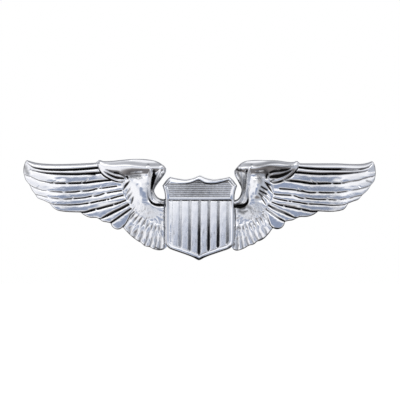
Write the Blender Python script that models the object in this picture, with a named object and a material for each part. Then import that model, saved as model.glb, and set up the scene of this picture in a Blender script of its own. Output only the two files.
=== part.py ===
"""Pilot wings pin: die-struck silver wings with an applied shield, three
clutch posts on the flat back and three butterfly clutches.

Frame: metres, +Z up as worn, +X to the wearer's left, the face looks along -Y
and the posts stand out along +Y.  The origin is on the flat back of the wings,
at the middle of the shield.
"""
import math

import bmesh
import bpy
import numpy as np
from mathutils import Vector
from mathutils.geometry import delaunay_2d_cdt

MM = 0.001

# ------------------------------------------------------------ driving sizes (mm)
WEB_T = 1.20            # thickness of the web behind the shield
SEAT_GAP = 0.05         # web to the back of the shield
POST_X = 20.5           # outer posts, each side of the middle
POST_Z = 4.1            # height of the outer posts
POST_MID_Z = -4.2       # height of the middle post
RECESS_R = 1.68         # spot-faced seat of a post flange
RECESS_D = 0.46
FLANGE_R = 1.56
PIN_R = 0.50
PIN_L = 7.2             # tip of the pin above the back
CLOTH_GAP = 2.3         # back of the badge to the front plate of a clutch
PLATE_R = 5.22
PLATE_HOLE_R = 0.72
PLATE_T = 0.40
SHELL_R = 5.85
JAW_T = 0.35
FULCRUM_R = 1.55        # jaw pivot, from the post axis
FULCRUM_S = 2.90        # jaw pivot, above the front plate's face

# --------------------------------------------------- outline of one wing (mm: x, z)
ARM_TOP = [(7.23, 8.92), (7.6, 9.44), (8.35, 10.0), (9.43, 10.52), (10.94, 10.86),
           (12.66, 10.99), (14.6, 10.95), (16.76, 10.78), (18.92, 10.61),
           (20.64, 10.56), (21.83, 10.71)]
LEADING_EDGE = [(22.58, 10.35), (25.81, 10.05), (30.12, 9.92), (32.28, 9.96),
                (34.44, 10.13), (35.94, 10.39), (37.24, 10.78)]
HOOK_OUT = [(8.03, 2.37), (8.78, 2.59), (9.43, 3.17), (9.82, 4.03), (9.65, 4.74),
            (9.0, 5.76), (8.14, 6.9), (7.38, 8.04), (7.23, 8.92)]
# one run for each feather end, from the wing tip round to the shield
FEATHER_ENDS = [
    [(37.24, 10.78), (37.6, 10.5), (37.88, 9.7), (38.05, 8.84), (38.05, 8.19), (37.88, 7.44)],
    [(37.88, 7.44), (37.45, 6.47), (36.63, 5.39)],
    [(36.63, 5.39), (36.16, 4.31), (35.38, 3.34)],
    [(35.38, 3.34), (34.44, 2.37), (33.36, 1.94), (32.28, 1.42)],
    [(32.28, 1.42), (31.42, 0.43), (30.12, -0.22), (28.4, -0.43), (25.6, -0.52)],
    [(25.6, -0.52), (24.74, -1.19), (23.66, -1.62), (22.15, -1.7), (21.39, -1.98)],
    [(21.39, -1.98), (20.64, -2.48), (19.13, -2.87)],
    [(19.13, -2.87), (18.59, -3.77), (17.62, -4.18), (16.48, -3.73)],
    [(16.48, -3.73), (15.47, -5.07), (14.39, -6.21), (13.1, -6.85), (12.02, -7.72),
     (10.72, -8.04), (9.43, -8.62), (8.46, -8.75), (7.75, -8.5), (7.45, -8.2)],
]
WEB_TOP = [(0.0, 7.0), (1.3, 6.5), (2.96, 6.05), (4.9, 6.3), (6.1, 6.45), (6.9, 5.85),
           (7.35, 5.1), (7.1, 4.3), (6.9, 3.3), (6.95, 2.6), (7.45, 2.3)]
WEB_BOTTOM = [(7.3, -7.95), (6.5, -7.75), (5.0, -8.35), (3.4, -9.05), (1.9, -9.6), (0.9, -10.0), (0.0, -10.4)]

# ------------------------------------------- grooves between the flight feathers
GROOVE_1 = [(36.8, 9.8), (35.19, 9.05), (32.97, 8.73), (29.69, 8.64), (26.89, 8.73), (22.75, 9.05)]
GROOVE_RIDGE = [(35.6, 8.75), (32.97, 8.4), (29.69, 8.2), (26.89, 8.24), (22.45, 8.5)]
GROOVE_2 = [(35.86, 8.47), (33.79, 8.06), (31.31, 7.82), (26.89, 7.74), (22.1, 7.93)]
STEPS = [
    [(37.2, 7.45), (36.27, 7.16), (34.65, 6.42), (32.97, 6.04), (30.12, 5.76), (26.89, 5.76),
     (24.8, 5.82), (21.29, 6.25), (20.0, 6.38)],
    [(36.2, 5.2), (35.19, 4.74), (32.97, 4.14), (30.12, 3.88), (26.89, 3.88), (25.6, 4.03),
     (22.19, 4.53), (19.02, 4.96), (18.0, 5.1)],
    [(34.9, 3.3), (33.79, 3.02), (31.74, 2.61), (30.12, 2.4), (27.6, 2.42), (26.03, 2.52),
     (23.36, 2.97), (20.75, 3.55), (17.3, 4.1)],
    [(31.9, 1.43), (30.12, 1.14), (26.89, 1.14), (24.11, 1.44), (21.72, 1.88), (19.5, 2.31),
     (17.1, 3.0)],
    [(25.2, -0.36), (22.49, 0.13), (18.72, 1.06), (16.6, 1.75)],
    [(20.95, -1.7), (19.8, -1.25), (17.49, -0.15), (15.8, 0.9)],
    [(18.85, -2.55), (17.49, -1.7), (15.96, -0.6), (15.2, 0.0)],
    [(16.25, -3.3), (15.36, -1.51), (14.75, -0.35)],
]
LOBE = [(21.75, 9.5), (20.9, 7.72), (19.26, 6.6), (16.9, 5.98)]
ARM_CREST = [(21.0, 9.95), (18.92, 9.85), (16.11, 10.03), (13.31, 10.1), (10.9, 9.75), (8.9, 9.15)]
ARM_FOOT = [(16.3, 8.3), (15.04, 8.58), (13.31, 8.49), (12.1, 7.9)]
INNER_RIDGE = [(10.75, 8.9), (10.5, 7.98), (10.68, 6.25), (10.81, 4.31), (10.66, 2.8),
               (10.1, 1.6), (9.1, 0.95)]
WEDGE = [(9.75, 8.2), (9.98, 6.47), (10.2, 4.6)]
HOOK_BAND = [(9.8, 3.2), (9.3, 2.3), (8.5, 1.95)]
THIGH = [(12.6, 6.6), (12.75, 4.74), (12.5, 2.6), (11.6, 1.0)]
DOWN_ROOT = (11.2, 0.9)     # the down feathers spread from here

# ------------------------------------------------------------------------ shield
SHIELD_TOP = [(0.0, 7.54), (0.6, 7.3), (1.5, 6.92), (2.96, 6.62), (4.6, 6.82), (6.35, 7.2)]
SHIELD_EAR = [(6.35, 7.2), (7.2, 6.35), (8.0, 5.3)]
SHIELD_SIDE = [(8.0, 5.3), (7.7, 4.4), (7.5, 3.5), (7.47, 2.2), (7.47, -2.0), (7.47, -6.4),
               (7.3, -7.5), (6.67, -8.3)]
SHIELD_BASE = [(6.67, -8.3), (5.12, -8.84), (3.4, -9.6), (1.9, -10.1), (0.9, -10.5), (0.0, -11.0)]
CHIEF_LINES = [5.0, 4.55, 4.1, 3.65, 3.2]
CHIEF_FOOT = 2.15
BAR_PITCH = 2.07


# ---------------------------------------------------------------- small utilities
def catmull(points, step):
    """Smooth open curve through the points, sampled about every `step` mm."""
    p = [np.array(q, float) for q in points]
    if len(p) < 3:
        n = max(1, int(round(np.linalg.norm(p[1] - p[0]) / step)))
        return [tuple(p[0] + (p[1] - p[0]) * i / n) for i in range(n + 1)]
    ext = [2 * p[0] - p[1]] + p + [2 * p[-1] - p[-2]]
    out = []
    for i in range(1, len(ext) - 2):
        a, b, c, d = ext[i - 1:i + 3]
        n = max(1, int(round(np.linalg.norm(c - b) / step)))
        for j in range(n):
            t = j / n
            out.append(tuple(0.5 * (2 * b + (c - a) * t + (2 * a - 5 * b + 4 * c - d) * t * t
                                    + (3 * b - a - 3 * c + d) * t ** 3)))
    out.append(tuple(p[-1]))
    return out


def offset(line, d):
    """The same polyline moved sideways by d mm (to the left of its direction)."""
    p = np.array(line, float)
    t = np.gradient(p, axis=0)
    t /= np.linalg.norm(t, axis=1)[:, None]
    return [tuple(q) for q in p + d * np.stack([-t[:, 1], t[:, 0]], 1)]


def smooth(a, b, x):
    t = min(1.0, max(0.0, (x - a) / (b - a)))
    return t * t * (3 - 2 * t)


def material(name, colour, metallic, roughness):
    m = bpy.data.materials.new(name)
    m.use_nodes = True
    b = m.node_tree.nodes["Principled BSDF"]
    b.inputs["Base Color"].default_value = (*colour, 1.0)
    b.inputs["Metallic"].default_value = metallic
    b.inputs["Roughness"].default_value = roughness
    m.diffuse_color = (*colour, 1.0)
    return m


def add_object(name, mesh, mat, parent=None, location=(0, 0, 0)):
    ob = bpy.data.objects.new(name, mesh)
    bpy.context.scene.collection.objects.link(ob)
    ob.location = location
    ob.parent = parent
    if isinstance(mesh, bpy.types.Mesh) and not mesh.materials:
        mesh.materials.append(mat)
    return ob


def add_empty(name, location, parent=None, turn=(0, 0, 0)):
    e = bpy.data.objects.new(name, None)
    bpy.context.scene.collection.objects.link(e)
    e.empty_display_size = 0.002
    e.location = location
    e.rotation_euler = turn
    e.parent = parent
    return e


def to_mesh(bm, name, smooth_angle=None):
    bmesh.ops.recalc_face_normals(bm, faces=bm.faces)
    me = bpy.data.meshes.new(name)
    bm.to_mesh(me)
    bm.free()
    if smooth_angle:
        me.shade_smooth()
        me.set_sharp_from_angle(angle=math.radians(smooth_angle))
    return me


# ------------------------------------------------------- struck relief, flat back
def triangulate(loop, lines, rings=()):
    """Constrained triangulation of a closed loop with open lines inside it.
    Every point is (x, z, h).  Returns points, heights and triangles."""
    pts, hts, edges = [], [], []

    def run(seq, closed):
        first = len(pts)
        for x, z, h in seq:
            pts.append(Vector((x, z)))
            hts.append(h)
        n = len(seq)
        for i in range(n if closed else n - 1):
            edges.append((first + i, first + (i + 1) % n))

    run(loop, True)
    for ln in lines:
        run(ln, False)
    for rg in rings:
        run(rg, True)
    v, e, f, ov, oe, of_ = delaunay_2d_cdt(pts, edges, [], 1, 1e-4)
    src = np.array([tuple(p) for p in pts])
    hh = []
    for i, q in enumerate(v):
        if ov[i]:
            hh.append(max(hts[j] for j in ov[i]))
        else:
            d = np.hypot(src[:, 0] - q[0], src[:, 1] - q[1])
            near = np.argsort(d)[:2]
            w = 1.0 / (d[near] + 1e-6)
            hh.append(float(sum(w * np.array(hts)[near]) / w.sum()))
    return [tuple(q) for q in v], hh, f


def struck_relief(name, loop, lines, back_y, recesses=()):
    """Solid with a modelled front towards -Y and a flat back at back_y (mm)."""
    v, h, faces = triangulate(loop, lines)
    bm = bmesh.new()
    front = [bm.verts.new((x * MM, -hh * MM, z * MM)) for (x, z), hh in zip(v, h)]
    for f in faces:
        bm.faces.new([front[i] for i in f])
    bm.verts.index_update()
    nxt = {}
    for e in bm.edges:
        if len(e.link_faces) == 1:
            for l in e.link_faces[0].loops:
                if l.edge is e:
                    nxt[l.vert.index] = l.link_loop_next.vert.index
    start = next(iter(nxt))
    order = [start]
    while nxt[order[-1]] != start:
        order.append(nxt[order[-1]])
    loop2 = [(v[i][0], v[i][1], 0.0) for i in order]
    rings = [[(cx + r * math.cos(2 * math.pi * k / 20), cz + r * math.sin(2 * math.pi * k / 20), 0.0)
              for k in range(20)] for cx, cz, r, d in recesses]
    bv, bh, bf = triangulate(loop2, [], rings)
    key = {(round(x, 4), round(z, 4)): i for i, (x, z) in enumerate(bv)}
    back, floor = {}, {}
    y0 = back_y * MM

    def inside(face):
        cx = sum(bv[i][0] for i in face) / 3
        cz = sum(bv[i][1] for i in face) / 3
        for k, (rx, rz, r, d) in enumerate(recesses):
            if math.hypot(cx - rx, cz - rz) < r:
                return k
        return None

    for f in bf:
        k = inside(f)
        verts = []
        for i in reversed(f):
            if k is None:
                if i not in back:
                    back[i] = bm.verts.new((bv[i][0] * MM, y0, bv[i][1] * MM))
                verts.append(back[i])
            else:
                if i not in floor:
                    floor[i] = bm.verts.new((bv[i][0] * MM, y0 - recesses[k][3] * MM, bv[i][1] * MM))
                verts.append(floor[i])
        bm.faces.new(verts)
    n = len(order)
    for a in range(n):
        i, j = order[a], order[(a + 1) % n]
        bi = back[key[(round(v[i][0], 4), round(v[i][1], 4))]]
        bj = back[key[(round(v[j][0], 4), round(v[j][1], 4))]]
        bm.faces.new((front[i], bi, bj, front[j]))
    for cx, cz, r, d in recesses:
        ids = [key[(round(cx + r * math.cos(2 * math.pi * k / 20), 4),
                    round(cz + r * math.sin(2 * math.pi * k / 20), 4))] for k in range(20)]
        for k in range(20):
            i, j = ids[k], ids[(k + 1) % 20]
            bm.faces.new((back[i], back[j], floor[j], floor[i]))
    bmesh.ops.triangulate(bm, faces=[f for f in bm.faces if len(f.verts) > 3])
    return to_mesh(bm, name)


# ------------------------------------------------------------------------- wings
def edge_height(x, z):
    """Height of the struck edge of a wing, by place."""
    if x < 22.2 and z > 8.5:
        return 1.9 - 0.25 * smooth(15, 22, x)
    if x < 10.2 and z > 1.8:
        return 1.7
    return 1.30 - 0.22 * smooth(28, 38, x)


def wing_lines(side):
    """Relief lines of one wing as (x, z, h); side is +1 or -1."""
    out = []

    def add(line, h):
        pts = []
        for i, (x, z) in enumerate(line):
            hh = h(x, z) if callable(h) else h
            pts.append((side * x, z, hh))
        out.append(pts)

    def vane(hi, lo):
        return lambda x, z: lo + (hi - lo) * (1 - smooth(27, 38, x))

    g1 = catmull(GROOVE_1, 2.2)
    g2 = catmull(GROOVE_2, 2.2)
    add(offset(g1, -0.55), vane(1.9, 1.35))
    add(g1, vane(1.15, 1.1))
    add(catmull(GROOVE_RIDGE, 2.2), vane(1.8, 1.3))
    add(g2, vane(1.15, 1.1))
    add(offset(g2, 0.4)[1:], vane(1.55, 1.3))
    for s in STEPS:
        c = catmull(s, 1.7)
        add(offset(c, -0.09), vane(1.8, 1.25))
        add(offset(c, 0.09), vane(1.3, 1.08))
    lobe = catmull(LOBE, 1.3)
    add(offset(lobe, 0.10), 2.35)
    add(offset(lobe, -0.10), 1.45)
    add(catmull(ARM_CREST, 1.8), 3.0)
    add(catmull(ARM_FOOT, 1.5), 1.9)
    add(catmull([(19.6, 8.9), (18.0, 8.3), (16.8, 7.9)], 1.5), 2.0)
    add(catmull([(19.0, 7.7), (17.8, 7.3), (16.6, 7.0)], 1.5), 2.0)
    add(catmull([(19.3, 8.3), (17.9, 7.8), (16.7, 7.45)], 1.5), 2.5)
    add(catmull(INNER_RIDGE, 1.6), 2.7)
    add(catmull(WEDGE, 1.8), 1.7)
    add(catmull(HOOK_BAND, 1.2), 2.3)
    add(catmull(THIGH, 1.8), 2.6)
    # soft down feathers spread fan-wise below the thigh
    rx, rz = DOWN_ROOT
    fan = 9
    for i in range(2 * fan - 1):
        a = math.radians(-42 - 76 * i / (2 * fan - 2))
        dx, dz = math.cos(a), math.sin(a)
        # distance to the lower edge of the wing along this ray
        reach = 3.0
        while (reach < 12 and inside_wing(rx + dx * (reach + 0.5), rz + dz * (reach + 0.5))
               and rx + dx * (reach + 0.1) > 8.0):
            reach += 0.1
        r0 = 3.0 if i % 2 else 3.6
        h = (2.15, 1.55) if i % 2 == 0 else (1.75, 1.3)
        add([(rx + dx * r0, rz + dz * r0), (rx + dx * (r0 + reach) / 2, rz + dz * (r0 + reach) / 2),
             (rx + dx * reach, rz + dz * reach)],
            lambda x, z, h=h, r0=r0, reach=reach: h[0] + (h[1] - h[0]) *
            min(1.0, max(0.0, (math.hypot(x - rx, z - rz) - r0) / (reach - r0))))
    # pocket wall beside the shield
    add(catmull([(7.74, 0.3), (7.74, -3.5), (7.74, -7.3), (7.58, -7.95)], 2.2), 1.6)
    add(catmull([(7.62, 2.1), (7.62, -3.5), (7.62, -7.2), (7.42, -7.85)], 2.2), WEB_T)
    return out


def half_outline():
    """One half of the wing plate's outline with heights, from top middle to bottom middle."""
    pts = []

    def add(seq, h, skip_first=True):
        for i, (x, z) in enumerate(seq):
            if skip_first and i == 0 and pts:
                continue
            pts.append((x, z, h(x, z) if callable(h) else h))

    add(WEB_TOP, WEB_T, False)
    add(catmull(HOOK_OUT, 1.0), edge_height, False)
    add(catmull(ARM_TOP, 1.3), edge_height)
    add([(22.15, 10.62), (22.4, 10.38)], edge_height, False)
    add(catmull(LEADING_EDGE, 2.0), edge_height, False)
    for run in FEATHER_ENDS:
        add(catmull(run, 0.9), edge_height)
    add(WEB_BOTTOM, WEB_T, False)
    return pts


_poly = None


def inside_wing(x, z):
    """True where (x, z) is within the right half outline."""
    global _poly
    if _poly is None:
        _poly = np.array([(p[0], p[1]) for p in half_outline()])
    hit = False
    n = len(_poly)
    for i in range(n):
        x1, z1 = _poly[i]
        x2, z2 = _poly[(i + 1) % n]
        if (z1 > z) != (z2 > z) and x < (x2 - x1) * (z - z1) / (z2 - z1) + x1:
            hit = not hit
    return hit


def make_wing_plate(mat):
    half = half_outline()
    right = half
    left = [(-x, z, h) for x, z, h in reversed(half[1:-1])]
    loop = list(reversed(right + left))     # counter-clockwise seen from the front
    lines = wing_lines(1) + wing_lines(-1)
    recesses = [(-POST_X, POST_Z, RECESS_R, RECESS_D), (POST_X, POST_Z, RECESS_R, RECESS_D),
                (0.0, POST_MID_Z, RECESS_R, RECESS_D)]
    me = struck_relief("wing_plate", loop, lines, 0.0, recesses)
    return add_object("wing_plate", me, mat)


# ------------------------------------------------------------------------ shield
def shield_half(inset):
    """Half of the shield's outline (right side, top to bottom), moved inwards."""
    runs = [SHIELD_TOP, SHIELD_EAR, SHIELD_SIDE, SHIELD_BASE]
    ctrl = [p for r in runs for p in (r if r is SHIELD_TOP else r[1:])]
    c = np.array(ctrl)
    ext = np.vstack([[-c[1][0], c[1][1]], c, [-c[-2][0], c[-2][1]]])
    moved = []
    for i in range(1, len(ext) - 1):
        a = ext[i] - ext[i - 1]
        b = ext[i + 1] - ext[i]
        a, b = a / np.linalg.norm(a), b / np.linalg.norm(b)
        na, nb = np.array([a[1], -a[0]]), np.array([b[1], -b[0]])
        m = na + nb
        m /= np.linalg.norm(m)
        moved.append(ext[i] + m * inset / max(0.45, float(m @ na)))
    moved[0][0] = moved[-1][0] = 0.0
    out, k = [], 0
    for r in runs:
        seg = moved[k:k + len(r)]
        k += len(r) - 1
        s = catmull(seg, 1.2)
        out += s if not out else s[1:]
    return out


def make_shield(mat):
    def ring(inset, h):
        half = shield_half(inset)
        return [(x, z, h) for x, z in half] + [(-x, z, h) for x, z in reversed(half[1:-1])]

    loop = list(reversed(ring(0.0, 2.95)))
    crest = ring(0.22, 3.4)
    inner = ring(0.50, 3.3)
    floor = ring(0.62, 3.0)
    fl = np.array([(p[0], p[1]) for p in ring(0.80, 0)])

    def span_x(z):
        xs = []
        for i in range(len(fl)):
            (x1, z1), (x2, z2) = fl[i], fl[(i + 1) % len(fl)]
            if (z1 > z) != (z2 > z):
                xs.append(x1 + (x2 - x1) * (z - z1) / (z2 - z1))
        return max(x for x in xs) if xs else 0.0

    def low_z(x):
        zs = []
        for i in range(len(fl)):
            (x1, z1), (x2, z2) = fl[i], fl[(i + 1) % len(fl)]
            if (x1 > x) != (x2 > x):
                zs.append(z1 + (z2 - z1) * (x - x1) / (x2 - x1))
        return min(zs)

    lines = []
    for closed in (crest, inner, floor):
        lines.append(closed + [closed[0]])
    for z in CHIEF_LINES:
        w = span_x(z)
        lines.append([(x, z, 2.85) for x in (-w, -w / 2, 0.0, w / 2, w)])
        w = span_x(z - 0.22)
        lines.append([(x, z - 0.22, 3.02) for x in (-w, -w / 2, 0.0, w / 2, w)])
    w = span_x(CHIEF_FOOT + 0.25)
    lines.append([(-w, CHIEF_FOOT + 0.25, 3.1), (w, CHIEF_FOOT + 0.25, 3.1)])
    w = span_x(CHIEF_FOOT)
    lines.append([(-w, CHIEF_FOOT, 2.85), (w, CHIEF_FOOT, 2.85)])
    top = CHIEF_FOOT - 0.28
    for i in range(-3, 4):
        xc = i * BAR_PITCH
        for dx, h in ((-0.26, 3.12), (0.0, 2.8), (0.26, 3.12)):
            x = xc + dx
            if abs(x) > 6.55:
                continue
            zb = low_z(x) + (0.0 if abs(x) > 0.1 else 0.2)
            lines.append([(x, top, h), (x, (top + zb) / 2, h), (x, zb, h)])
    for i in range(-3, 3):
        x = (i + 0.5) * BAR_PITCH
        lines.append([(x, top, 3.2), (x, (top + low_z(x)) / 2, 3.24), (x, low_z(x), 3.2)])
    me = struck_relief("shield", loop, lines, -(WEB_T + SEAT_GAP))
    return add_object("shield", me, mat)


# --------------------------------------------------------- turned and bent pieces
def lathe(name, profile, segments, smooth_angle=35):
    """Turn a closed profile of (radius, height) in mm about local Z."""
    bm = bmesh.new()
    vs = [bm.verts.new((r * MM, 0, z * MM)) for r, z in profile]
    n = len(vs)
    on_axis = profile[0][0] < 1e-9 and profile[-1][0] < 1e-9
    es = [bm.edges.new((vs[i], vs[(i + 1) % n])) for i in range(n - 1 if on_axis else n)]
    bmesh.ops.spin(bm, geom=vs + es, cent=(0, 0, 0), axis=(0, 0, 1), angle=2 * math.pi,
                   steps=segments, use_merge=True)
    bmesh.ops.remove_doubles(bm, verts=bm.verts, dist=1e-8)
    bmesh.ops.triangulate(bm, faces=bm.faces)
    return to_mesh(bm, name, smooth_angle)


def bent_strip(name, path, widths, thick, origin):
    """Sheet strip bent along a path of (x, z) in mm, its width along local Y."""
    p = np.array(path, float) - np.array(origin)
    t = np.gradient(p, axis=0)
    t /= np.linalg.norm(t, axis=1)[:, None]
    nrm = np.stack([-t[:, 1], t[:, 0]], 1)
    bm = bmesh.new()
    rows = []
    for q, m, w in zip(p, nrm, widths):
        a, b = q + m * thick / 2, q - m * thick / 2
        rows.append([bm.verts.new((c[0] * MM, y * MM, c[1] * MM))
                     for c, y in ((a, -w), (a, w), (b, w), (b, -w))])
    for r, s in zip(rows, rows[1:]):
        for i in range(4):
            j = (i + 1) % 4
            bm.faces.new((r[i], r[j], s[j], s[i]))
    bm.faces.new(rows[0])
    bm.faces.new(list(reversed(rows[-1])))
    bmesh.ops.triangulate(bm, faces=bm.faces)
    return to_mesh(bm, name)


PIN_PROFILE = [(0.0, -RECESS_D + 0.06), (FLANGE_R - 0.06, -RECESS_D + 0.06), (FLANGE_R, -RECESS_D + 0.12),
               (FLANGE_R, -0.08), (FLANGE_R - 0.06, -0.02), (PIN_R + 0.12, -0.02), (PIN_R, 0.12),
               (PIN_R, 3.25), (PIN_R - 0.11, 3.42), (PIN_R - 0.11, 3.80), (PIN_R, 3.95),
               (PIN_R, 5.9), (0.12, PIN_L - 0.06), (0.0, PIN_L)]
PLATE_PROFILE = [(PLATE_HOLE_R, 0.0), (PLATE_R - 0.08, 0.0), (PLATE_R, 0.08), (PLATE_R, PLATE_T),
                 (PLATE_R - 0.05, PLATE_T + 0.04), (PLATE_HOLE_R, PLATE_T)]
SHELL_PROFILE = [(5.36, 0.02), (5.66, 0.0), (SHELL_R, 0.25), (SHELL_R, 0.8), (5.62, 1.15),
                 (5.05, 1.3), (3.75, 1.38), (3.3, 1.75), (3.2, 2.75), (2.95, 3.15), (2.5, 3.2),
                 (2.5, 2.88), (2.78, 2.84), (2.86, 2.6), (2.92, 1.75), (3.35, 1.0), (5.0, 0.94),
                 (5.36, 0.72)]
JAW_PATH = [(0.60, 1.22), (1.15, 1.30), (1.55, 1.52), (1.68, 2.0), (1.60, 2.45), (1.55, 2.90),
            (1.72, 3.35), (2.20, 3.80), (2.72, 4.25), (3.05, 4.75), (3.24, 5.2), (3.32, 5.5),
            (3.36, 5.68)]
JAW_WIDTH = [0.95, 1.05, 1.1, 1.1, 1.1, 1.15, 1.35, 1.95, 2.35, 2.45, 2.2, 1.65, 0.9]


def make_post(tag, x, z, mesh, mat):
    ob = add_object("post_" + tag, mesh, mat, None, (x * MM, 0, z * MM))
    ob.rotation_euler = (-math.pi / 2, 0, 0)
    return ob


def make_clutch(tag, x, z, meshes, mats):
    """One butterfly clutch on its post.  Local Z runs out along the post."""
    slide = add_empty("clutch_" + tag + "_slide_axis", (x * MM, CLOTH_GAP * MM, z * MM),
                      turn=(-math.pi / 2, 0, 0))
    spin = add_empty("clutch_" + tag + "_spin_axis", (0, 0, 0), slide)
    add_object("clutch_" + tag + "_front_plate", meshes["plate"], mats["brass"], slide)
    add_object("clutch_" + tag + "_shell", meshes["shell"], mats["brass"], spin)
    add_object("clutch_" + tag + "_jaw_a", meshes["jaw"], mats["brass"], spin,
               (FULCRUM_R * MM, 0, FULCRUM_S * MM))
    jb = add_object("clutch_" + tag + "_jaw_b", meshes["jaw"], mats["brass"], spin,
                    (-FULCRUM_R * MM, 0, FULCRUM_S * MM))
    jb.rotation_euler = (0, 0, math.pi)
    sp = bpy.data.objects.new("clutch_" + tag + "_spring", meshes["spring"])
    bpy.context.scene.collection.objects.link(sp)
    sp.parent = spin


def make_spring(mat):
    """C-shaped wire ring round both jaws, open at one side."""
    cu = bpy.data.curves.new("spring_ring", "CURVE")
    cu.dimensions = "3D"
    cu.bevel_depth = 0.19 * MM
    cu.bevel_resolution = 1
    cu.use_fill_caps = True
    n = 18
    sl = cu.splines.new("POLY")
    sl.points.add(n)
    for i in range(n + 1):
        a = math.radians(-60 + 300 * i / n)
        sl.points[i].co = (2.56 * MM * math.cos(a), 2.56 * MM * math.sin(a), 2.5 * MM, 1)
    cu.materials.append(mat)
    return cu


def main():
    for ob in list(bpy.data.objects):
        bpy.data.objects.remove(ob, do_unlink=True)
    silver = material("polished_silver", (0.86, 0.87, 0.89), 1.0, 0.12)
    silver_b = material("polished_silver_shield", (0.88, 0.89, 0.91), 1.0, 0.10)
    brass = material("clutch_brass", (0.83, 0.66, 0.34), 1.0, 0.22)
    nickel = material("post_nickel", (0.72, 0.70, 0.66), 1.0, 0.25)
    steel = material("spring_steel", (0.55, 0.56, 0.58), 1.0, 0.3)

    make_wing_plate(silver)
    make_shield(silver_b)

    pin = lathe("post", PIN_PROFILE, 12)
    pin.materials.append(nickel)
    places = (("left", -POST_X, POST_Z), ("center", 0.0, POST_MID_Z), ("right", POST_X, POST_Z))
    meshes = {"plate": lathe("front_plate", PLATE_PROFILE, 24),
              "shell": lathe("clutch_shell", SHELL_PROFILE, 24),
              "jaw": bent_strip("clutch_jaw", JAW_PATH, JAW_WIDTH, JAW_T, (FULCRUM_R, FULCRUM_S)),
              "spring": make_spring(steel)}
    for k in ("plate", "shell", "jaw"):
        meshes[k].materials.append(brass)
    for tag, x, z in places:
        make_post(tag, x, z, pin, nickel)
        make_clutch(tag, x, z, meshes, {"brass": brass})


main()
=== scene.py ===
"""Looks of the pilot wings pin: struck relief, dark oxide and painted shade, clutches, studio."""
import math

import bmesh
import bpy
import numpy as np
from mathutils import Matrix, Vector
from mathutils.geometry import delaunay_2d_cdt


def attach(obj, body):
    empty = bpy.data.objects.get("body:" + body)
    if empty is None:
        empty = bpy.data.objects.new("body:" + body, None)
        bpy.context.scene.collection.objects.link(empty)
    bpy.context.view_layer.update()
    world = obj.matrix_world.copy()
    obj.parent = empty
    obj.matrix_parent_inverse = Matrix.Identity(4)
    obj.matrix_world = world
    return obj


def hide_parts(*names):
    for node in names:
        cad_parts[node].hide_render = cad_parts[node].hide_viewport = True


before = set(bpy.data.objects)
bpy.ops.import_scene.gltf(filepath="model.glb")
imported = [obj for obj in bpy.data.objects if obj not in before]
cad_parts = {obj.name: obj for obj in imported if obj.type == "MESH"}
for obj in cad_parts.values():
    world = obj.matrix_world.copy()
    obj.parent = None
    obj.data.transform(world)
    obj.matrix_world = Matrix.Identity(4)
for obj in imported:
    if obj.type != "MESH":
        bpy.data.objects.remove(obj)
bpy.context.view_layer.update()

MM = 0.001


# Curves of one wing in millimetres on the badge's own frame (x outwards, z up).
# Strokes are (points, widths, depths in mm, patina), each read along the length.
HOOK_OUT = [(8.03, 2.37), (8.78, 2.59), (9.43, 3.17), (9.82, 4.03), (9.65, 4.74), (9.00, 5.76), (8.14, 6.90),
    (7.38, 8.04), (7.23, 8.92)]
ARM_TOP = [(7.23, 8.92), (7.60, 9.48), (8.35, 10.05), (9.43, 10.56), (10.94, 10.89), (12.66, 11.02), (14.60,
    10.99), (16.76, 10.82), (18.92, 10.61), (20.64, 10.56), (21.39, 10.78), (21.80, 10.76)]
LEADING = [(21.80, 10.76), (22.24, 10.43), (22.58, 10.26), (25.81, 10.09), (30.12, 9.96), (32.28, 10.00),
    (34.44, 10.15), (35.94, 10.43), (37.24, 10.82)]
FEATHER_ENDS = [
    [(37.24, 10.82), (37.58, 10.50), (37.88, 9.70), (38.04, 8.84), (38.04, 8.19), (37.88, 7.44)],
    [(37.88, 7.44), (37.54, 6.47), (36.68, 5.41)],
    [(36.68, 5.41), (36.16, 4.31), (35.43, 3.38)],
    [(35.43, 3.38), (34.82, 2.54), (33.57, 2.03), (32.32, 1.47)],
    [(32.32, 1.47), (31.63, 0.65), (30.77, 0.00), (29.69, -0.30), (27.97, -0.47), (25.64, -0.54)],
    [(25.64, -0.54), (24.84, -1.16), (23.66, -1.64), (22.26, -1.72), (21.50, -2.07)],
    [(21.50, -2.07), (20.86, -2.50), (19.99, -2.67), (19.22, -2.85)],
    [(19.22, -2.85), (18.79, -3.66), (18.05, -4.14), (17.30, -4.16), (16.54, -3.75)],
    [(16.54, -3.75), (15.47, -4.96), (14.39, -5.95), (13.31, -6.73), (12.66, -7.07), (11.91, -7.76), (10.83,
     -8.02), (9.86, -8.49), (8.68, -8.71), (7.71, -8.47), (7.15, -8.02)],
]
GROOVES = {
    'g1': ([(37.13, 10.13), (36.38, 9.53), (35.19, 9.05), (32.97, 8.73), (29.69, 8.64), (26.89, 8.71), (24.09,
        8.90), (21.93, 9.10)], [0.5, 0.9, 1.15, 1.2, 1.25], [0.2, 0.42, 0.5, 0.5, 0.5], [0.35, 0.85, 1, 1,
        1]),
    'g2': ([(36.38, 8.71), (35.86, 8.47), (33.79, 8.06), (31.31, 7.82), (26.89, 7.72), (23.66, 7.85), (21.29,
        8.00)], [0.4, 0.85, 1.1, 1.1, 1.0], [0.2, 0.4, 0.48, 0.48, 0.48], [0.35, 0.85, 1, 1, 1]),
}
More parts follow.
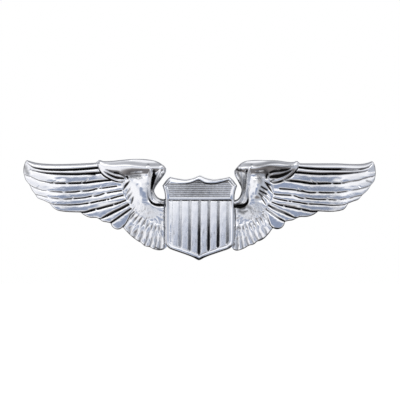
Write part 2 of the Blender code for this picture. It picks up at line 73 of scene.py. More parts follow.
LINES = {
    3: ([(37.63, 7.59), (36.27, 7.16), (34.65, 6.42), (32.97, 6.04), (31.74, 5.82), (30.12, 5.76), (26.89,
        5.76), (24.80, 5.82), (22.58, 6.08), (21.29, 6.21), (20.42, 6.29), (19.13, 6.42)], [0.35, 0.5, 0.75,
        0.85, 0.9], [0.1, 0.16, 0.32, 0.36, 0.38], [0.15, 0.3, 0.95, 0.95, 1]),
    4: ([(36.70, 5.48), (36.16, 5.17), (35.19, 4.74), (34.00, 4.31), (32.97, 4.14), (31.42, 3.99), (30.12,
        3.88), (28.83, 3.82), (26.89, 3.88), (25.81, 4.03), (24.09, 4.10), (23.01, 4.31), (22.19, 4.55),
        (21.07, 4.66), (19.78, 4.85), (19.02, 4.96), (17.84, 5.13)], [0.45, 0.45, 0.6, 0.6, 0.6], [0.1, 0.14,
        0.22, 0.24, 0.22], [0.3, 0.25, 0.55, 0.65, 0.6]),
    5: ([(35.45, 3.41), (34.87, 3.28), (33.79, 3.02), (32.93, 2.80), (31.74, 2.61), (30.12, 2.41), (28.83,
        2.33), (27.60, 2.41), (26.03, 2.50), (24.52, 2.67), (23.36, 2.93), (22.58, 2.95), (21.50, 3.19),
        (20.75, 3.49), (19.35, 3.75), (18.05, 3.97), (16.76, 4.18)], [0.45, 0.5, 0.55, 0.6, 0.6], [0.1, 0.12,
        0.18, 0.24, 0.22], [0.3, 0.25, 0.5, 0.62, 0.6]),
    6: ([(32.32, 1.51), (31.20, 1.21), (30.12, 1.12), (28.18, 1.06), (26.89, 1.12), (25.81, 1.19), (24.09,
        1.42), (23.23, 1.55), (21.72, 1.88), (20.42, 2.13), (19.13, 2.41), (18.05, 2.74), (16.33, 3.19)],
        [0.4, 0.5, 0.6, 0.75, 0.6], [0.1, 0.18, 0.24, 0.3, 0.24], [0.15, 0.45, 0.65, 0.85, 0.7]),
    7: ([(25.66, -0.52), (24.52, -0.45), (23.66, -0.22), (22.49, 0.11), (21.50, 0.32), (20.64, 0.56), (18.72,
        1.06), (17.19, 1.55), (15.79, 2.11)], [0.7, 1.0, 0.9, 0.8, 0.6], [0.2, 0.38, 0.36, 0.34, 0.26], [0.8,
        1, 1, 0.95, 0.8]),
    8: ([(21.59, -1.92), (20.96, -1.72), (19.80, -1.16), (18.70, -0.58), (17.49, 0.00), (16.33, 0.58), (15.25,
        1.21)], [0.5, 1.0, 1.05, 1.0, 0.9], [0.15, 0.42, 0.44, 0.42, 0.38], [0.6, 1, 1, 1, 0.95]),
    9: ([(19.22, -2.82), (18.05, -2.03), (17.19, -1.42), (16.11, -0.65), (14.76, 0.30)], [0.7, 0.8, 0.8, 0.8,
        0.7], [0.3, 0.36, 0.36, 0.36, 0.3], [0.9, 0.95, 0.95, 0.95, 0.8]),
    10: ([(16.54, -3.69), (15.90, -2.97), (15.34, -1.90), (14.82, -1.03), (13.91, -0.26)], [0.6, 0.5, 0.5,
        0.5, 0.45], [0.28, 0.24, 0.24, 0.22, 0.15], [0.8, 0.55, 0.5, 0.5, 0.35]),
}
COVERTS = {
    'c1': ([(20.21, 8.77), (19.56, 8.41), (18.48, 8.06), (17.41, 7.85), (16.50, 7.46)], [0.4, 0.9, 1.15, 1.25,
        0.8], [0.12, 0.32, 0.46, 0.5, 0.34], [0.3, 0.95, 1, 1, 1]),
    'c2': ([(20.64, 8.32), (19.99, 7.89), (19.02, 7.37), (17.84, 6.92), (16.37, 6.75)], [0.4, 0.85, 1.1, 1.2,
        0.8], [0.12, 0.3, 0.42, 0.46, 0.32], [0.3, 0.8, 1, 1, 1]),
    'c3': ([(16.05, 7.29), (15.68, 7.16), (15.42, 6.64)], [0.8, 1.3, 0.6], [0.2, 0.42, 0.2], [0.5, 1, 0.5]),
    's1': ([(14.99, 6.21), (15.64, 5.56), (16.11, 4.96), (16.50, 4.27)], [0.6, 0.9, 0.9, 0.5], [0.12, 0.32,
        0.32, 0.15], [0.3, 0.8, 0.75, 0.4]),
    's2': ([(14.65, 5.07), (15.14, 4.20), (15.60, 3.56), (15.85, 3.02)], [0.5, 0.6, 0.6, 0.4], [0.06, 0.16,
        0.18, 0.1], [0.05, 0.25, 0.3, 0.15]),
    's3': ([(14.39, 4.05), (14.82, 3.38), (15.25, 2.80), (15.51, 2.20)], [0.45, 0.6, 0.7, 0.5], [0.06, 0.2,
        0.26, 0.15], [0.1, 0.35, 0.5, 0.35]),
    's4': ([(14.19, 2.97), (14.47, 2.28), (14.73, 1.42)], [0.5, 0.75, 0.6], [0.1, 0.3, 0.22], [0.25, 0.7,
        0.55]),
    's5': ([(13.66, 0.95), (14.09, 0.32), (14.65, -0.39), (15.25, -1.29)], [0.4, 0.45, 0.45, 0.4], [0.05,
        0.12, 0.14, 0.12], [0.05, 0.2, 0.3, 0.3]),
}
TICKS = [((31.96, 5.78), (30.88, 6.29), 0.5, 0.8), ((25.92, 5.73), (25.17, 6.29), 0.5, 0.8), ((25.04, 5.78),
    (23.98, 6.68), 0.5, 0.75), ((22.04, 4.61), (21.29, 5.17), 0.4, 0.35), ((21.50, 4.53), (21.07, 4.96), 0.4,
    0.4), ((34.97, 4.79), (34.44, 5.09), 0.4, 0.35), ((23.44, 2.89), (23.01, 3.41), 0.45, 0.5), ((27.65,
    2.33), (27.06, 3.02), 0.45, 0.5), ((22.69, 0.04), (22.24, 0.43), 0.4, 0.6), ((18.81, 1.01), (18.44, 1.38),
    0.4, 0.5), ((24.05, 1.38), (23.57, 1.85), 0.35, 0.35), ((19.86, 2.18), (19.43, 2.59), 0.35, 0.4), ((31.74,
    1.08), (30.77, 1.68), 0.4, 0.25)]
BRIDGES = [((28.55, 5.73), 1.6), ((31.29, 5.78), 1.0), ((25.32, 5.78), 1.0), ((29.18, 3.84), 1.6), ((25.43,
    4.03), 1.9), ((21.74, 4.61), 1.5), ((21.11, 4.70), 0.8), ((22.97, 2.93), 1.7), ((27.28, 2.41), 1.2),
    ((20.21, 3.64), 1.6), ((23.70, 1.49), 1.3), ((19.99, 2.18), 0.8), ((19.30, 2.37), 1.0), ((22.32, 0.11),
    1.1), ((18.48, 1.10), 1.2), ((21.29, -1.70), 1.0), ((32.50, 4.12), 2.2), ((32.28, 2.69), 2.0), ((29.69,
    2.39), 2.6)]
R1_LEFT = ([(10.64, 7.22), (10.96, 6.36), (11.11, 5.17), (11.11, 3.88), (11.03, 2.80), (10.72, 2.03), (10.25,
    1.51), (9.54, 1.16), (8.57, 1.08), (7.79, 1.03)], [0.3, 0.5, 0.7, 0.8, 0.8, 0.8, 0.9, 1.2, 1.7, 1.2],
    [0.02, 0.1, 0.16, 0.18, 0.22, 0.3, 0.42, 0.52, 0.6, 0.5], [0, 0.1, 0.25, 0.3, 0.4, 0.6, 0.95, 1, 1, 1])
WEDGE = ([(9.82, 8.49), (9.90, 7.87), (10.01, 6.90), (10.14, 5.82), (10.31, 4.74), (10.44, 3.99)], [0.9, 1.35,
    1.5, 1.3, 0.8, 0.4], [0.35, 0.6, 0.7, 0.65, 0.4, 0.12], [0.8, 1, 1, 1, 0.8, 0.4])
HOOK_IN = ([(10.03, 4.20), (10.03, 3.45), (9.73, 2.76), (9.22, 2.24), (8.57, 1.94), (7.81, 1.81)], [0.35, 0.4,
    0.45, 0.45, 0.45, 0.4], [0.05, 0.1, 0.12, 0.12, 0.1, 0.06], [0.1, 0.25, 0.3, 0.25, 0.15, 0.1])
LOBE_EDGE = [(21.80, 10.76), (22.02, 10.24), (21.95, 9.44), (21.59, 8.45), (20.94, 7.63), (20.21, 7.03),
    (19.26, 6.55), (18.05, 6.12), (16.98, 5.91), (16.33, 6.04)]
LOBE_CLOSE = [(16.33, 6.04), (15.90, 6.57), (15.47, 6.79), (14.60, 6.94), (13.31, 6.79), (12.02, 6.90),
    (11.26, 7.33), (10.72, 8.19), (10.16, 8.62), (9.86, 8.51), (9.00, 7.54), (6.41, 8.19), (5.98, 12.93),
    (12.88, 12.93), (21.50, 12.07), (21.80, 10.76)]
ARM_CREST = [(21.39, 10.00), (20.21, 9.66), (18.48, 9.57), (16.54, 9.66), (14.39, 9.74), (12.66, 9.76),
    (11.26, 9.61), (10.08, 9.44), (9.00, 9.36), (8.14, 9.18)]
COVERT_EDGE = [(16.65, 6.25), (16.76, 5.50), (16.63, 4.74), (16.67, 4.10), (16.46, 3.54), (16.33, 3.02),
    (15.98, 2.46), (15.77, 1.94), (15.25, 1.38), (14.99, 0.78), (14.52, 0.22), (14.00, -0.30), (14.43, -0.95),
    (14.99, -1.77), (15.55, -2.67), (16.24, -3.54)]
BODY_CLOSE = [(16.24, -3.54), (16.54, -4.10), (15.04, -7.54), (10.72, -9.92), (5.34, -9.92), (5.34, 2.16),
    (10.16, 1.29), (10.38, 4.31), (10.12, 6.47), (10.08, 8.62), (11.59, 8.08), (13.31, 8.41), (15.04, 8.32),
    (16.11, 7.65), (16.65, 6.25)]
THIGH = [(14.39, 6.14), (13.10, 5.17), (12.34, 3.88), (11.80, 2.16), (11.16, 0.43), (10.51, -1.72)]
TIER = [(14.04, -0.43), (13.42, -0.69), (12.88, -1.21), (12.23, -1.42), (11.72, -1.90), (11.03, -2.07),
    (10.51, -2.50), (9.86, -2.63), (9.30, -3.06), (8.57, -3.10), (7.84, -3.32)]
VALLEY_POLY = [(16.33, 6.36), (15.79, 7.22), (15.04, 7.80), (13.74, 8.06), (12.45, 7.89), (11.37, 7.22),
    (10.83, 6.04), (10.94, 2.16), (10.29, -0.43), (17.19, -0.43), (16.98, 4.31)]
R1_CREST = [(11.05, 9.38), (10.51, 8.62), (10.44, 7.54), (10.57, 6.25), (10.70, 4.96), (10.68, 3.66), (10.53,
    2.54), (10.16, 1.90), (9.52, 1.47), (8.57, 1.29)]
WEDGE_LINE = [(9.78, 8.71), (9.90, 7.76), (10.03, 6.68), (10.21, 5.50), (10.38, 4.31), (10.34, 3.13), (9.95,
    2.20), (9.30, 1.60), (8.48, 1.31), (7.49, 1.25)]
HOOK_CLOSE = [(7.49, 1.25), (5.98, 1.29), (5.98, 10.78), (7.92, 10.17), (8.87, 9.61), (9.43, 9.14), (9.78,
    8.71)]
HOOK_CREST = [(8.22, 9.31), (8.40, 8.54), (8.87, 7.42), (9.45, 6.25), (9.88, 5.09), (10.01, 3.97), (9.67,
    2.89), (9.00, 2.18), (8.18, 1.85), (7.28, 1.72)]
DOWN_UP = {
    'd1': [(14.91, -2.11), (14.39, -1.34), (13.61, -0.52)],
    'd2': [(14.47, -2.89), (13.83, -1.98), (12.88, -1.03)],
    'd3': [(13.79, -3.54), (13.05, -2.50), (12.15, -1.42)],
    'd4': [(12.84, -4.05), (12.19, -3.06), (11.33, -1.90)],
    'd5': [(11.80, -4.40), (11.24, -3.45), (10.59, -2.33)],
    'd6': [(10.77, -4.66), (10.34, -3.75), (9.90, -2.67)],
    'd7': [(9.78, -4.83), (9.52, -3.88), (9.26, -2.93)],
    'd8': [(8.78, -4.91), (8.70, -3.97), (8.61, -3.02)],
}
DOWN_LOW = {
    'e1': [(15.21, -5.17), (14.82, -4.10), (14.30, -3.23)],
    'e2': [(14.13, -6.08), (13.61, -4.91), (13.05, -3.97)],
    'e3': [(12.97, -6.81), (12.36, -5.39), (11.76, -4.22)],
    'e4': [(11.89, -7.67), (11.24, -6.04), (10.68, -4.48)],
    'e5': [(10.77, -7.98), (10.25, -6.38), (9.86, -4.74)],
    'e6': [(9.73, -8.45), (9.34, -6.68), (9.13, -4.96)],
    'e7': [(8.65, -8.62), (8.48, -6.90), (8.40, -5.09)],
}
DOWN_ROOT = (11.16, 1.08)
# how the -X wing's landmarks lie on the +X wing: (u, z) and how far they sit from it
LANDMARKS = [(37.24, 10.78, -0.11, -0.22), (38.04, 8.62, -0.15, -0.22), (37.88, 7.44, 0.00, -0.32), (36.38,
    9.48, 0.00, -0.32), (30.12, 8.62, 0.00, 0.15), (21.93, 9.10, -0.32, 0.28), (35.94, 8.45, -0.65, -0.26),
    (30.12, 7.76, 0.00, 0.00), (21.50, 7.98, -0.86, 0.09), (31.85, 5.82, -1.08, -0.04), (27.97, 5.73, 0.00,
    -0.02), (21.50, 6.25, -0.22, -0.09), (36.38, 5.28, 0.11, -0.15), (33.36, 4.16, 0.00, 0.19), (30.12, 3.88,
    0.00, -0.06), (26.89, 3.88, 0.00, -0.17), (22.36, 4.53, -0.11, -0.43), (17.84, 5.13, -0.65, -0.58),
    (34.87, 3.28, -0.65, -0.26), (32.93, 2.80, -0.65, -0.32), (30.12, 2.41, 0.00, -0.22), (26.03, 2.48, 0.00,
    -0.32), (22.58, 2.95, -0.43, -0.50), (16.76, 4.18, -0.75, -0.80), (32.28, 1.51, -0.43, -0.04), (25.81,
    1.19, 0.00, 0.04), (21.72, 1.88, -0.11, -0.32), (16.33, 3.19, -0.54, -0.50), (25.60, -0.54, -0.22, 0.26),
    (22.36, 0.11, -0.43, 0.00), (18.70, 1.08, -0.43, -0.22), (15.79, 2.11, -0.32, -0.39), (21.59, -1.94,
    -0.84, 0.17), (18.70, -0.58, -0.32, -0.15), (26.89, -0.52, 0.54, 0.09), (30.12, -0.22, 0.32, 0.13),
    (24.84, -1.16, -0.22, 0.15), (19.22, -2.85, -0.86, 0.34), (18.05, -4.16, -0.54, 0.19), (16.65, -3.71,
    -0.86, -0.17), (15.47, -4.96, -0.65, -0.22), (14.39, -5.95, -0.65, -0.34), (12.66, -7.11, -0.28, 0.28),
    (10.83, -8.02, -0.22, 0.32), (8.57, -8.71, -0.54, -0.09), (21.80, 10.76, -0.73, -0.19), (21.93, 9.44,
    -1.03, -0.17), (20.64, 7.33, -0.75, 0.11), (18.92, 10.61, -0.11, -0.22), (14.60, 10.99, 0.00, -0.26),
    (10.94, 10.89, 0.11, -0.15), (8.35, 10.05, 0.22, -0.13), (18.92, 8.15, -0.65, 0.43), (16.50, 7.46, -1.47,
    0.65), (16.37, 6.75, -1.12, 0.32), (15.47, 5.60, -1.08, -0.32), (14.60, 3.02, -1.29, 0.00), (9.82, 8.49,
    0.22, 0.04), (10.10, 6.25, -0.45, -0.22), (10.42, 4.10, -0.86, -0.11), (7.23, 8.92, 0.30, -0.73), (8.14,
    6.90, -0.04, -0.43), (9.73, 4.63, -0.78, 0.22), (9.58, 3.36, -0.80, -0.04), (8.03, 2.37, -0.54, -0.26),
    (11.09, 5.17, -0.37, -0.22), (10.29, 1.51, -0.11, -0.04), (8.57, 1.08, -0.11, -0.30)]


def catmull(points, step=0.12):
    """Smooth open curve through the points, sampled about every `step` mm."""
    p = [np.array(q, float) for q in points]
    if len(p) == 2:
        n = max(1, int(round(np.linalg.norm(p[1] - p[0]) / step)))
        return np.array([p[0] + (p[1] - p[0]) * i / n for i in range(n + 1)])
    ext = [2 * p[0] - p[1]] + p + [2 * p[-1] - p[-2]]
    out = []
    for i in range(1, len(ext) - 2):
        a, b, c, d = ext[i - 1:i + 3]
        n = max(1, int(round(np.linalg.norm(c - b) / step)))
        for j in range(n):
            t = j / n
            out.append(0.5 * (2 * b + (c - a) * t + (2 * a - 5 * b + 4 * c - d) * t * t
                              + (3 * b - a - 3 * c + d) * t ** 3))
    out.append(p[-1])
    return np.array(out)


def ss(a, b, x):
    t = np.clip((x - a) / (b - a), 0.0, 1.0)
    return t * t * (3 - 2 * t)


def to_line(P, line, reach=2.5):
    """Distance of each point to a polyline, where along it (0..1), and the
    signed side; points further than reach get that distance."""
    n = len(P)
    d = np.full(n, 1e3)
    s = np.zeros(n)
    side = np.ones(n)
    lo, hi = line.min(0) - reach, line.max(0) + reach
    idx = np.nonzero((P[:, 0] > lo[0]) & (P[:, 0] < hi[0]) & (P[:, 1] > lo[1]) & (P[:, 1] < hi[1]))[0]
    if not len(idx):
        return d, s, side
    a, b = line[:-1], line[1:]
    ab = b - a
    L2 = np.maximum((ab ** 2).sum(1), 1e-12)
    seg = np.sqrt(L2)
    cum = np.concatenate([[0], np.cumsum(seg)])
    for k in range(0, len(idx), 4000):
        q = P[idx[k:k + 4000]]
        ap = q[:, None, :] - a[None]
        t = np.clip((ap * ab[None]).sum(2) / L2, 0, 1)
        r = ap - t[:, :, None] * ab[None]
        dd = (r ** 2).sum(2)
        j = dd.argmin(1)
        rows = np.arange(len(q))
        d[idx[k:k + 4000]] = np.sqrt(dd[rows, j])
        s[idx[k:k + 4000]] = (cum[j] + t[rows, j] * seg[j]) / cum[-1]
        cr = ab[j, 0] * ap[rows, j, 1] - ab[j, 1] * ap[rows, j, 0]
        side[idx[k:k + 4000]] = np.where(cr >= 0, 1.0, -1.0)
    return d, s, side


def in_poly(P, poly):
    x, y = P[:, 0], P[:, 1]
    hit = np.zeros(len(P), bool)
    n = len(poly)
    for i in range(n):
        x1, y1 = poly[i]
        x2, y2 = poly[(i + 1) % n]
        if y1 == y2:
            continue
        c = ((y1 > y) != (y2 > y)) & (x < (x2 - x1) * (y - y1) / (y2 - y1) + x1)
        hit ^= c
    return hit


def to_poly(P, poly, reach=2.5):
    """Signed distance to a closed outline, positive inside."""
    d, _, _ = to_line(P, np.vstack([poly, poly[:1]]), reach)
    return np.where(in_poly(P, poly), d, -d)


def along(vals, s):
    return np.interp(s, np.linspace(0, 1, len(vals)), vals)


def waves(u, z, scale, seed):
    """Smooth repeatable mottling, about -1..1."""
    r = np.random.RandomState(seed)
    out = np.zeros_like(u)
    for _ in range(7):
        a = r.uniform(0, 2 * np.pi)
        k = 2 * np.pi / (scale * r.uniform(0.7, 1.5))
        out += np.sin(k * (u * np.cos(a) + z * np.sin(a)) + r.uniform(0, 6.28))
    return out / 3.2


class Relief:
    """Collects grooves (cut) and patina over a base height."""

    def __init__(self, P):
        self.P = P
        self.cut = np.zeros(len(P))
        self.pat_shade = np.zeros(len(P))
        self.fill = np.zeros(len(P))

    def groove(self, pts, w, depth, pat_shade, soft=1.0):
        line = catmull(pts)
        d, s, _ = to_line(self.P, line, 1.6)
        ww = along(w, s)
        g = np.exp(-(d / ww) ** 2)
        self.cut = np.maximum(self.cut, along(depth, s) * g)
        self.pat_shade = np.maximum(self.pat_shade, along(pat_shade, s) * np.exp(-(d / (ww * 0.92 * soft)) ** 4))


K = 0.21556     # width unit of the strokes, mm


def wing_functions():
    """The boundary lines between feathers as functions z(x), tip end first."""
    fs = {}
    ext = {3: FEATHER_ENDS[0][3:], 4: FEATHER_ENDS[1], 5: FEATHER_ENDS[2], 6: FEATHER_ENDS[3],
           7: FEATHER_ENDS[4], 8: FEATHER_ENDS[5], 9: FEATHER_ENDS[6], 10: FEATHER_ENDS[7]}
    src = {1: GROOVES["g1"][0], 2: GROOVES["g2"][0]}
    for k, v in LINES.items():
        src[k] = v[0]
    for k, pts in src.items():
        c = catmull(pts)
        if k in ext:
            c = np.vstack([catmull(ext[k]), c])
        o = np.argsort(c[:, 0])
        x, z = c[o, 0], c[o, 1]
        keep = np.concatenate([[True], np.diff(x) > 1e-4])
        x, z = x[keep], z[keep]
        # carry the line on past its root end, in its own direction
        m = (z[4] - z[0]) / (x[4] - x[0])
        x = np.concatenate([[x[0] - 4.0], x])
        z = np.concatenate([[z[0] - m * 4.0], z])
        g = np.gradient(z, x)
        fs[k] = (x, z, 1 / np.sqrt(1 + g ** 2))
    return fs


def smax(a, b, k):
    """Larger of two heights with a soft crease of size k."""
    t = np.clip(0.5 + 0.5 * (a - b) / k, 0, 1)
    return a * t + b * (1 - t) + k * t * (1 - t)


def dome(r):
    """Round ridge profile: 1 at the crest, 0 at r = 1, falling away beyond."""
    c = np.clip(r, 0, 1)
    return np.where(r < 1, 0.5 + 0.5 * np.cos(np.pi * c ** 0.9), -1.2 * (r - 1))


def wing_relief(P):
    """Struck front of the +X wing for points in mm: height, dark oxide with painted shade,
    distance to the outline and satin finish."""
    u, z = P[:, 0], P[:, 1]
    R = Relief(P)
    fs = wing_functions()
    f = {k: np.interp(u, v[0], v[1]) for k, v in fs.items()}
    c = {k: np.interp(u, v[0], v[2]) for k, v in fs.items()}
    outline = wing_outline()
    dout = to_poly(P, outline, 3.0)

    # ---- flight feathers
    hb = 1.24 + 0.40 * ss(39.5, 30, u) + 0.22 * ss(24, 16, u)
    order = [1, 2, 3, 4, 5, 6, 7, 8, 9, 10]
    S = {k: ss(-0.07, 0.07, (f[k] - z) * c[k]) for k in order}
    top = np.interp(u, LEAD_X, LEAD_Z)
    t0 = np.clip((top - z) / np.maximum(top - f[1], 0.2), 0, 1)
    tip = ss(38.3, 35.5, u)              # the two long grooves run out before the tip
    h = hb - 0.14 + (0.30 + 0.32 * tip) * np.sin(t0 * np.pi / 2) ** 0.85
    for i, k in enumerate(order):
        lo = f[order[i + 1]] if i + 1 < len(order) else f[k] - 3.0
        t = np.clip((f[k] - z) / np.maximum(f[k] - lo, 0.15), 0, 1)
        if k == 1:
            p = hb + 0.20 + 0.02 * tip + 0.10 * np.sin(t * np.pi * 0.8)
            p = p * tip + h * (1 - tip)
        elif k == 2:
            p = hb + 0.14 + 0.02 * t + 0.035 * np.sin(np.pi * t)
            p = p * (0.4 + 0.6 * tip) + h * (0.6 - 0.6 * tip)
        else:
            p = hb + 0.03 + 0.05 * t + 0.062 * np.sin(np.pi * t ** 0.75)
        h = h * (1 - S[k]) + p * S[k]
    # the vanes lean back towards the tip and beside the coverts
    h = h + 0.10 * S[2] * ss(25.0, 33.5, u) * np.maximum(8.8 - z, 0) * ss(25.0, 29.0, u - 3.0 * ss(5.6, 6.6, z))
    h = h - 0.08 * S[2] * ss(24.5, 20.5, u) * ss(15.0, 17.0, u) * ss(0.8, 2.4, z) * ss(6.6, 5.4, z) * (z - 4.0)
    # barbs: faint slanting ribs over the vanes
    h += 0.0030 * S[2] * np.sin(2 * np.pi * (u * 0.66 + z * 0.95) / 0.46 + 0.9 * waves(u, z, 3.0, 3))
    h += 0.010 * S[2] * waves(u * 0.45, z * 1.3, 1.1, 12)
    for name, (pts, w, dep, pa) in GROOVES.items():
        R.groove(pts, [x * K for x in w], [q * 0.55 for q in dep], pa)
    for k, (pts, w, dep, pa) in LINES.items():
        R.groove(pts, [x * K * 1.12 for x in w], [q * 0.62 for q in dep], [min(1.0, 0.16 + 1.12 * q) for q in pa])
    for a, b, w, pa in TICKS:
        R.groove([a, b], [w * K, w * K * 0.7], [0.14 * pa + 0.03, 0.03], [pa, pa * 0.3])
    for cen, r in BRIDGES:
        d = np.hypot(u - cen[0], (z - cen[1]) * 1.15)
        g = np.exp(-(d / (r * K * 0.85)) ** 2)
        R.cut *= 1 - 0.9 * g
        R.pat_shade *= 1 - g

    # ---- body: thigh, coverts and down, one soft surface running up under the arm
    body_poly = np.vstack([catmull(COVERT_EDGE), catmull(BODY_CLOSE)])
    db = to_poly(P, body_poly, 4.0)
    m_body = ss(-0.12, 0.18, db)
    dt, st, _ = to_line(P, catmull(THIGH), 6.0)
    h_body = 1.72 + 0.16 * ss(-9, 0, z)
    h_body += along([0.35, 0.58, 0.62, 0.50, 0.28, 0.0], st) * np.exp(-(dt / along([1.8, 2.0, 2.1, 2.3, 2.5, 2.6], st)) ** 2)
    h_body += 0.018 * waves(u, z * 0.8, 1.15, 41) * ss(8.0, 6.0, z)
    h_body -= 0.22 * ss(-3.5, -8.8, z)
    h_body += 0.060 * ss(2.2, 1.0, z) * ss(-3.4, -2.0, z) * (z + 0.5)
    R2 = Relief(P)
    for name, (pts, w, dep, pa) in COVERTS.items():
        R2.groove(pts, [x * K * 1.18 for x in w], [q * 0.6 for q in dep], [min(1.0, q * 1.15) for q in pa])
    # down: soft strands between shallow furrows
    for name, pts in DOWN_UP.items():
        R2.groove(pts, [0.65 * K, 1.0 * K, 0.55 * K], [0.05, 0.17, 0.04], [0.10, 0.52, 0.08], 0.95)
    for name, pts in DOWN_LOW.items():
        R2.groove(pts, [1.0 * K, 1.6 * K, 1.0 * K], [0.14, 0.15, 0.03], [0.46, 0.30, 0.04], 0.95)
    tuft = np.hypot(u - DOWN_ROOT[0], z - DOWN_ROOT[1])
    ang = np.arctan2(u - DOWN_ROOT[0], -(z - DOWN_ROOT[1]))
    down = ss(2.4, 4.4, tuft) * ss(0.3, -1.2, z)
    h_body += 0.040 * down * np.sin(ang * 27 + 0.9 * waves(u, z, 2.6, 5))
    h_body += 0.011 * down * np.sin(ang * 91 + tuft * 1.3)
    # small breast feathers: short nicks that follow the spread of the down
    rnd = np.random.RandomState(8)
    for _ in range(64):
        a0, t1 = rnd.uniform(-0.25, 1.15), rnd.uniform(0.9, 4.3)
        p0 = (DOWN_ROOT[0] + 0.4 + np.sin(a0) * t1, DOWN_ROOT[1] + 1.2 - np.cos(a0) * t1)
        ln = rnd.uniform(0.28, 0.62)
        a1 = a0 + rnd.uniform(-0.35, 0.35)
        R2.groove([p0, (p0[0] + np.sin(a1) * ln, p0[1] - np.cos(a1) * ln)], [0.075, 0.05],
                  [0.045, 0.01], [rnd.uniform(0.16, 0.42), 0.04])
    dtier, stier, sd = to_line(P, catmull(TIER), 2.0)
    h_body += 0.06 * np.exp(-(np.maximum(0, dtier * sd + 0.05) / 0.6) ** 2) * ss(-0.14, 0.14, dtier * sd)
    soft = ss(1.5, 0.2, z) * ss(-5.5, -3.0, z)
    h_body += 0.015 * waves(ang * 5.0, tuft * 0.6, 0.8, 9) * soft
    h = h * (1 - m_body) + h_body * m_body
    R.cut *= 1 - m_body
    R.pat_shade *= 1 - m_body

    # ---- shoulder: a round arm ending in a feathered lobe
    lobe_poly = np.vstack([catmull(LOBE_EDGE), catmull(LOBE_CLOSE)])
    dl = to_poly(P, lobe_poly, 3.0)
    m_lobe = ss(-0.05, 0.06, dl)
    crest = catmull(ARM_CREST)
    crest[:, 1] -= 0.28 + 0.42 * np.exp(-((crest[:, 0] - 12.2) / 2.2) ** 2)
    dc, sc, side_c = to_line(P, crest, 5.0)
    low = side_c > 0
    wid = np.where(low, along([2.4, 2.8, 3.0, 2.5, 1.85, 1.7, 1.5], sc), along([1.3, 1.4, 1.5, 1.6, 1.7, 1.6, 1.5], sc))
    crest_h = along([2.05, 2.42, 2.66, 2.86, 2.94, 2.90, 2.72], sc)
    foot = np.where(low, along([1.80, 1.80, 1.84, 1.66, 1.58, 1.66, 1.8], sc), along([1.70, 1.86, 2.0, 2.12, 2.18, 2.12, 2.0], sc))
    h_arm = foot + (crest_h - foot) * dome(dc / wid)
    plateau = np.where(low, foot, -5.0)
    h_arm = np.where(dc / wid > 1, np.where(low, foot - 0.02 * (dc - wid), h_arm), h_arm)
    q = np.clip(dl / 0.95, 0, 1)
    on_lobe = ss(11.5, 15.5, u)
    h_lobe = h_arm - 0.22 * (1 - np.sin(q * np.pi / 2)) * ss(14.0, 17.0, u) - 0.06 * (1 - ss(0, 0.16, dl)) * ss(14.0, 17.0, u)
    # west of the valley the lobe lies over the feathers; over the valley it melts into the body
    under = smax(h_arm, h_body, 0.30)
    h_lobe = h_lobe * on_lobe + under * (1 - on_lobe)
    arm_zone = np.maximum(m_lobe, m_body * ss(17.5, 16.2, u))
    h = h * (1 - arm_zone) + np.where(m_lobe > 0.5, h_lobe, under) * arm_zone
    R.cut *= 1 - m_lobe
    R.pat_shade *= 1 - m_lobe
    # dark hollow under the arm: a dip in the height, with painted shade in it
    dv, sv, _ = to_line(P, catmull([(16.1, 7.05), (15.4, 7.7), (14.2, 7.75), (13.0, 7.6), (12.2, 7.2)]), 3.0)
    hollow = np.exp(-(dv / along([0.34, 0.50, 0.55, 0.50, 0.42], sv)) ** 2)
    h -= 0.14 * hollow
    hollow_shade = along([0.40, 0.42, 0.33, 0.36, 0.12], sv) * np.exp(-(dv / along([0.45, 0.8, 1.0, 0.9, 0.6], sv)) ** 2)
    # ---- inner ridge and the hooked ribbon, grown out of the arm
    d1, s1, _ = to_line(P, catmull(R1_CREST), 2.0)
    w1 = along([1.15, 0.95, 0.80, 0.72, 0.70, 0.70, 0.62], s1)
    h1 = 1.70 + along([1.25, 1.12, 0.95, 0.85, 0.80, 0.66, 0.5], s1) * dome(d1 / w1)
    h = smax(h, np.where(d1 < 1.6, h1, -5.0), 0.16)
    d2, s2, _ = to_line(P, catmull(HOOK_CREST), 2.5)
    w2 = along([1.45, 1.30, 1.1, 0.85, 0.75, 0.78, 0.85, 0.9], s2)
    h2 = 1.60 + along([1.15, 0.98, 0.85, 0.75, 0.70, 0.72, 0.78, 0.75], s2) * dome(d2 / w2)
    h = smax(h, np.where(d2 < 1.9, h2, -5.0), 0.16)
    # painted shade along the bend of the ribbon
    bend_shade = along([0.0, 0.06, 0.44, 0.56, 0.50, 0.26, 0.12, 0.30], s2) * np.exp(-((d2 - 0.12) / 0.46) ** 2)
    R2.groove(R1_LEFT[0], [x * K for x in R1_LEFT[1]], [q * 0.7 for q in R1_LEFT[2]], R1_LEFT[3])
    R2.groove([(8.42, -0.9), (8.32, -3.4), (8.26, -6.0), (8.24, -8.3)], [0.5 * K, 0.6 * K, 0.6 * K, 0.5 * K], [0.03, 0.06, 0.06, 0.03],
              [0.10, 0.42, 0.36, 0.10])
    R2.groove(WEDGE[0], [x * K * 0.95 for x in WEDGE[1]], [q * 0.7 for q in WEDGE[2]], WEDGE[3])
    R2.groove(HOOK_IN[0], [x * K for x in HOOK_IN[1]], HOOK_IN[2], HOOK_IN[3])
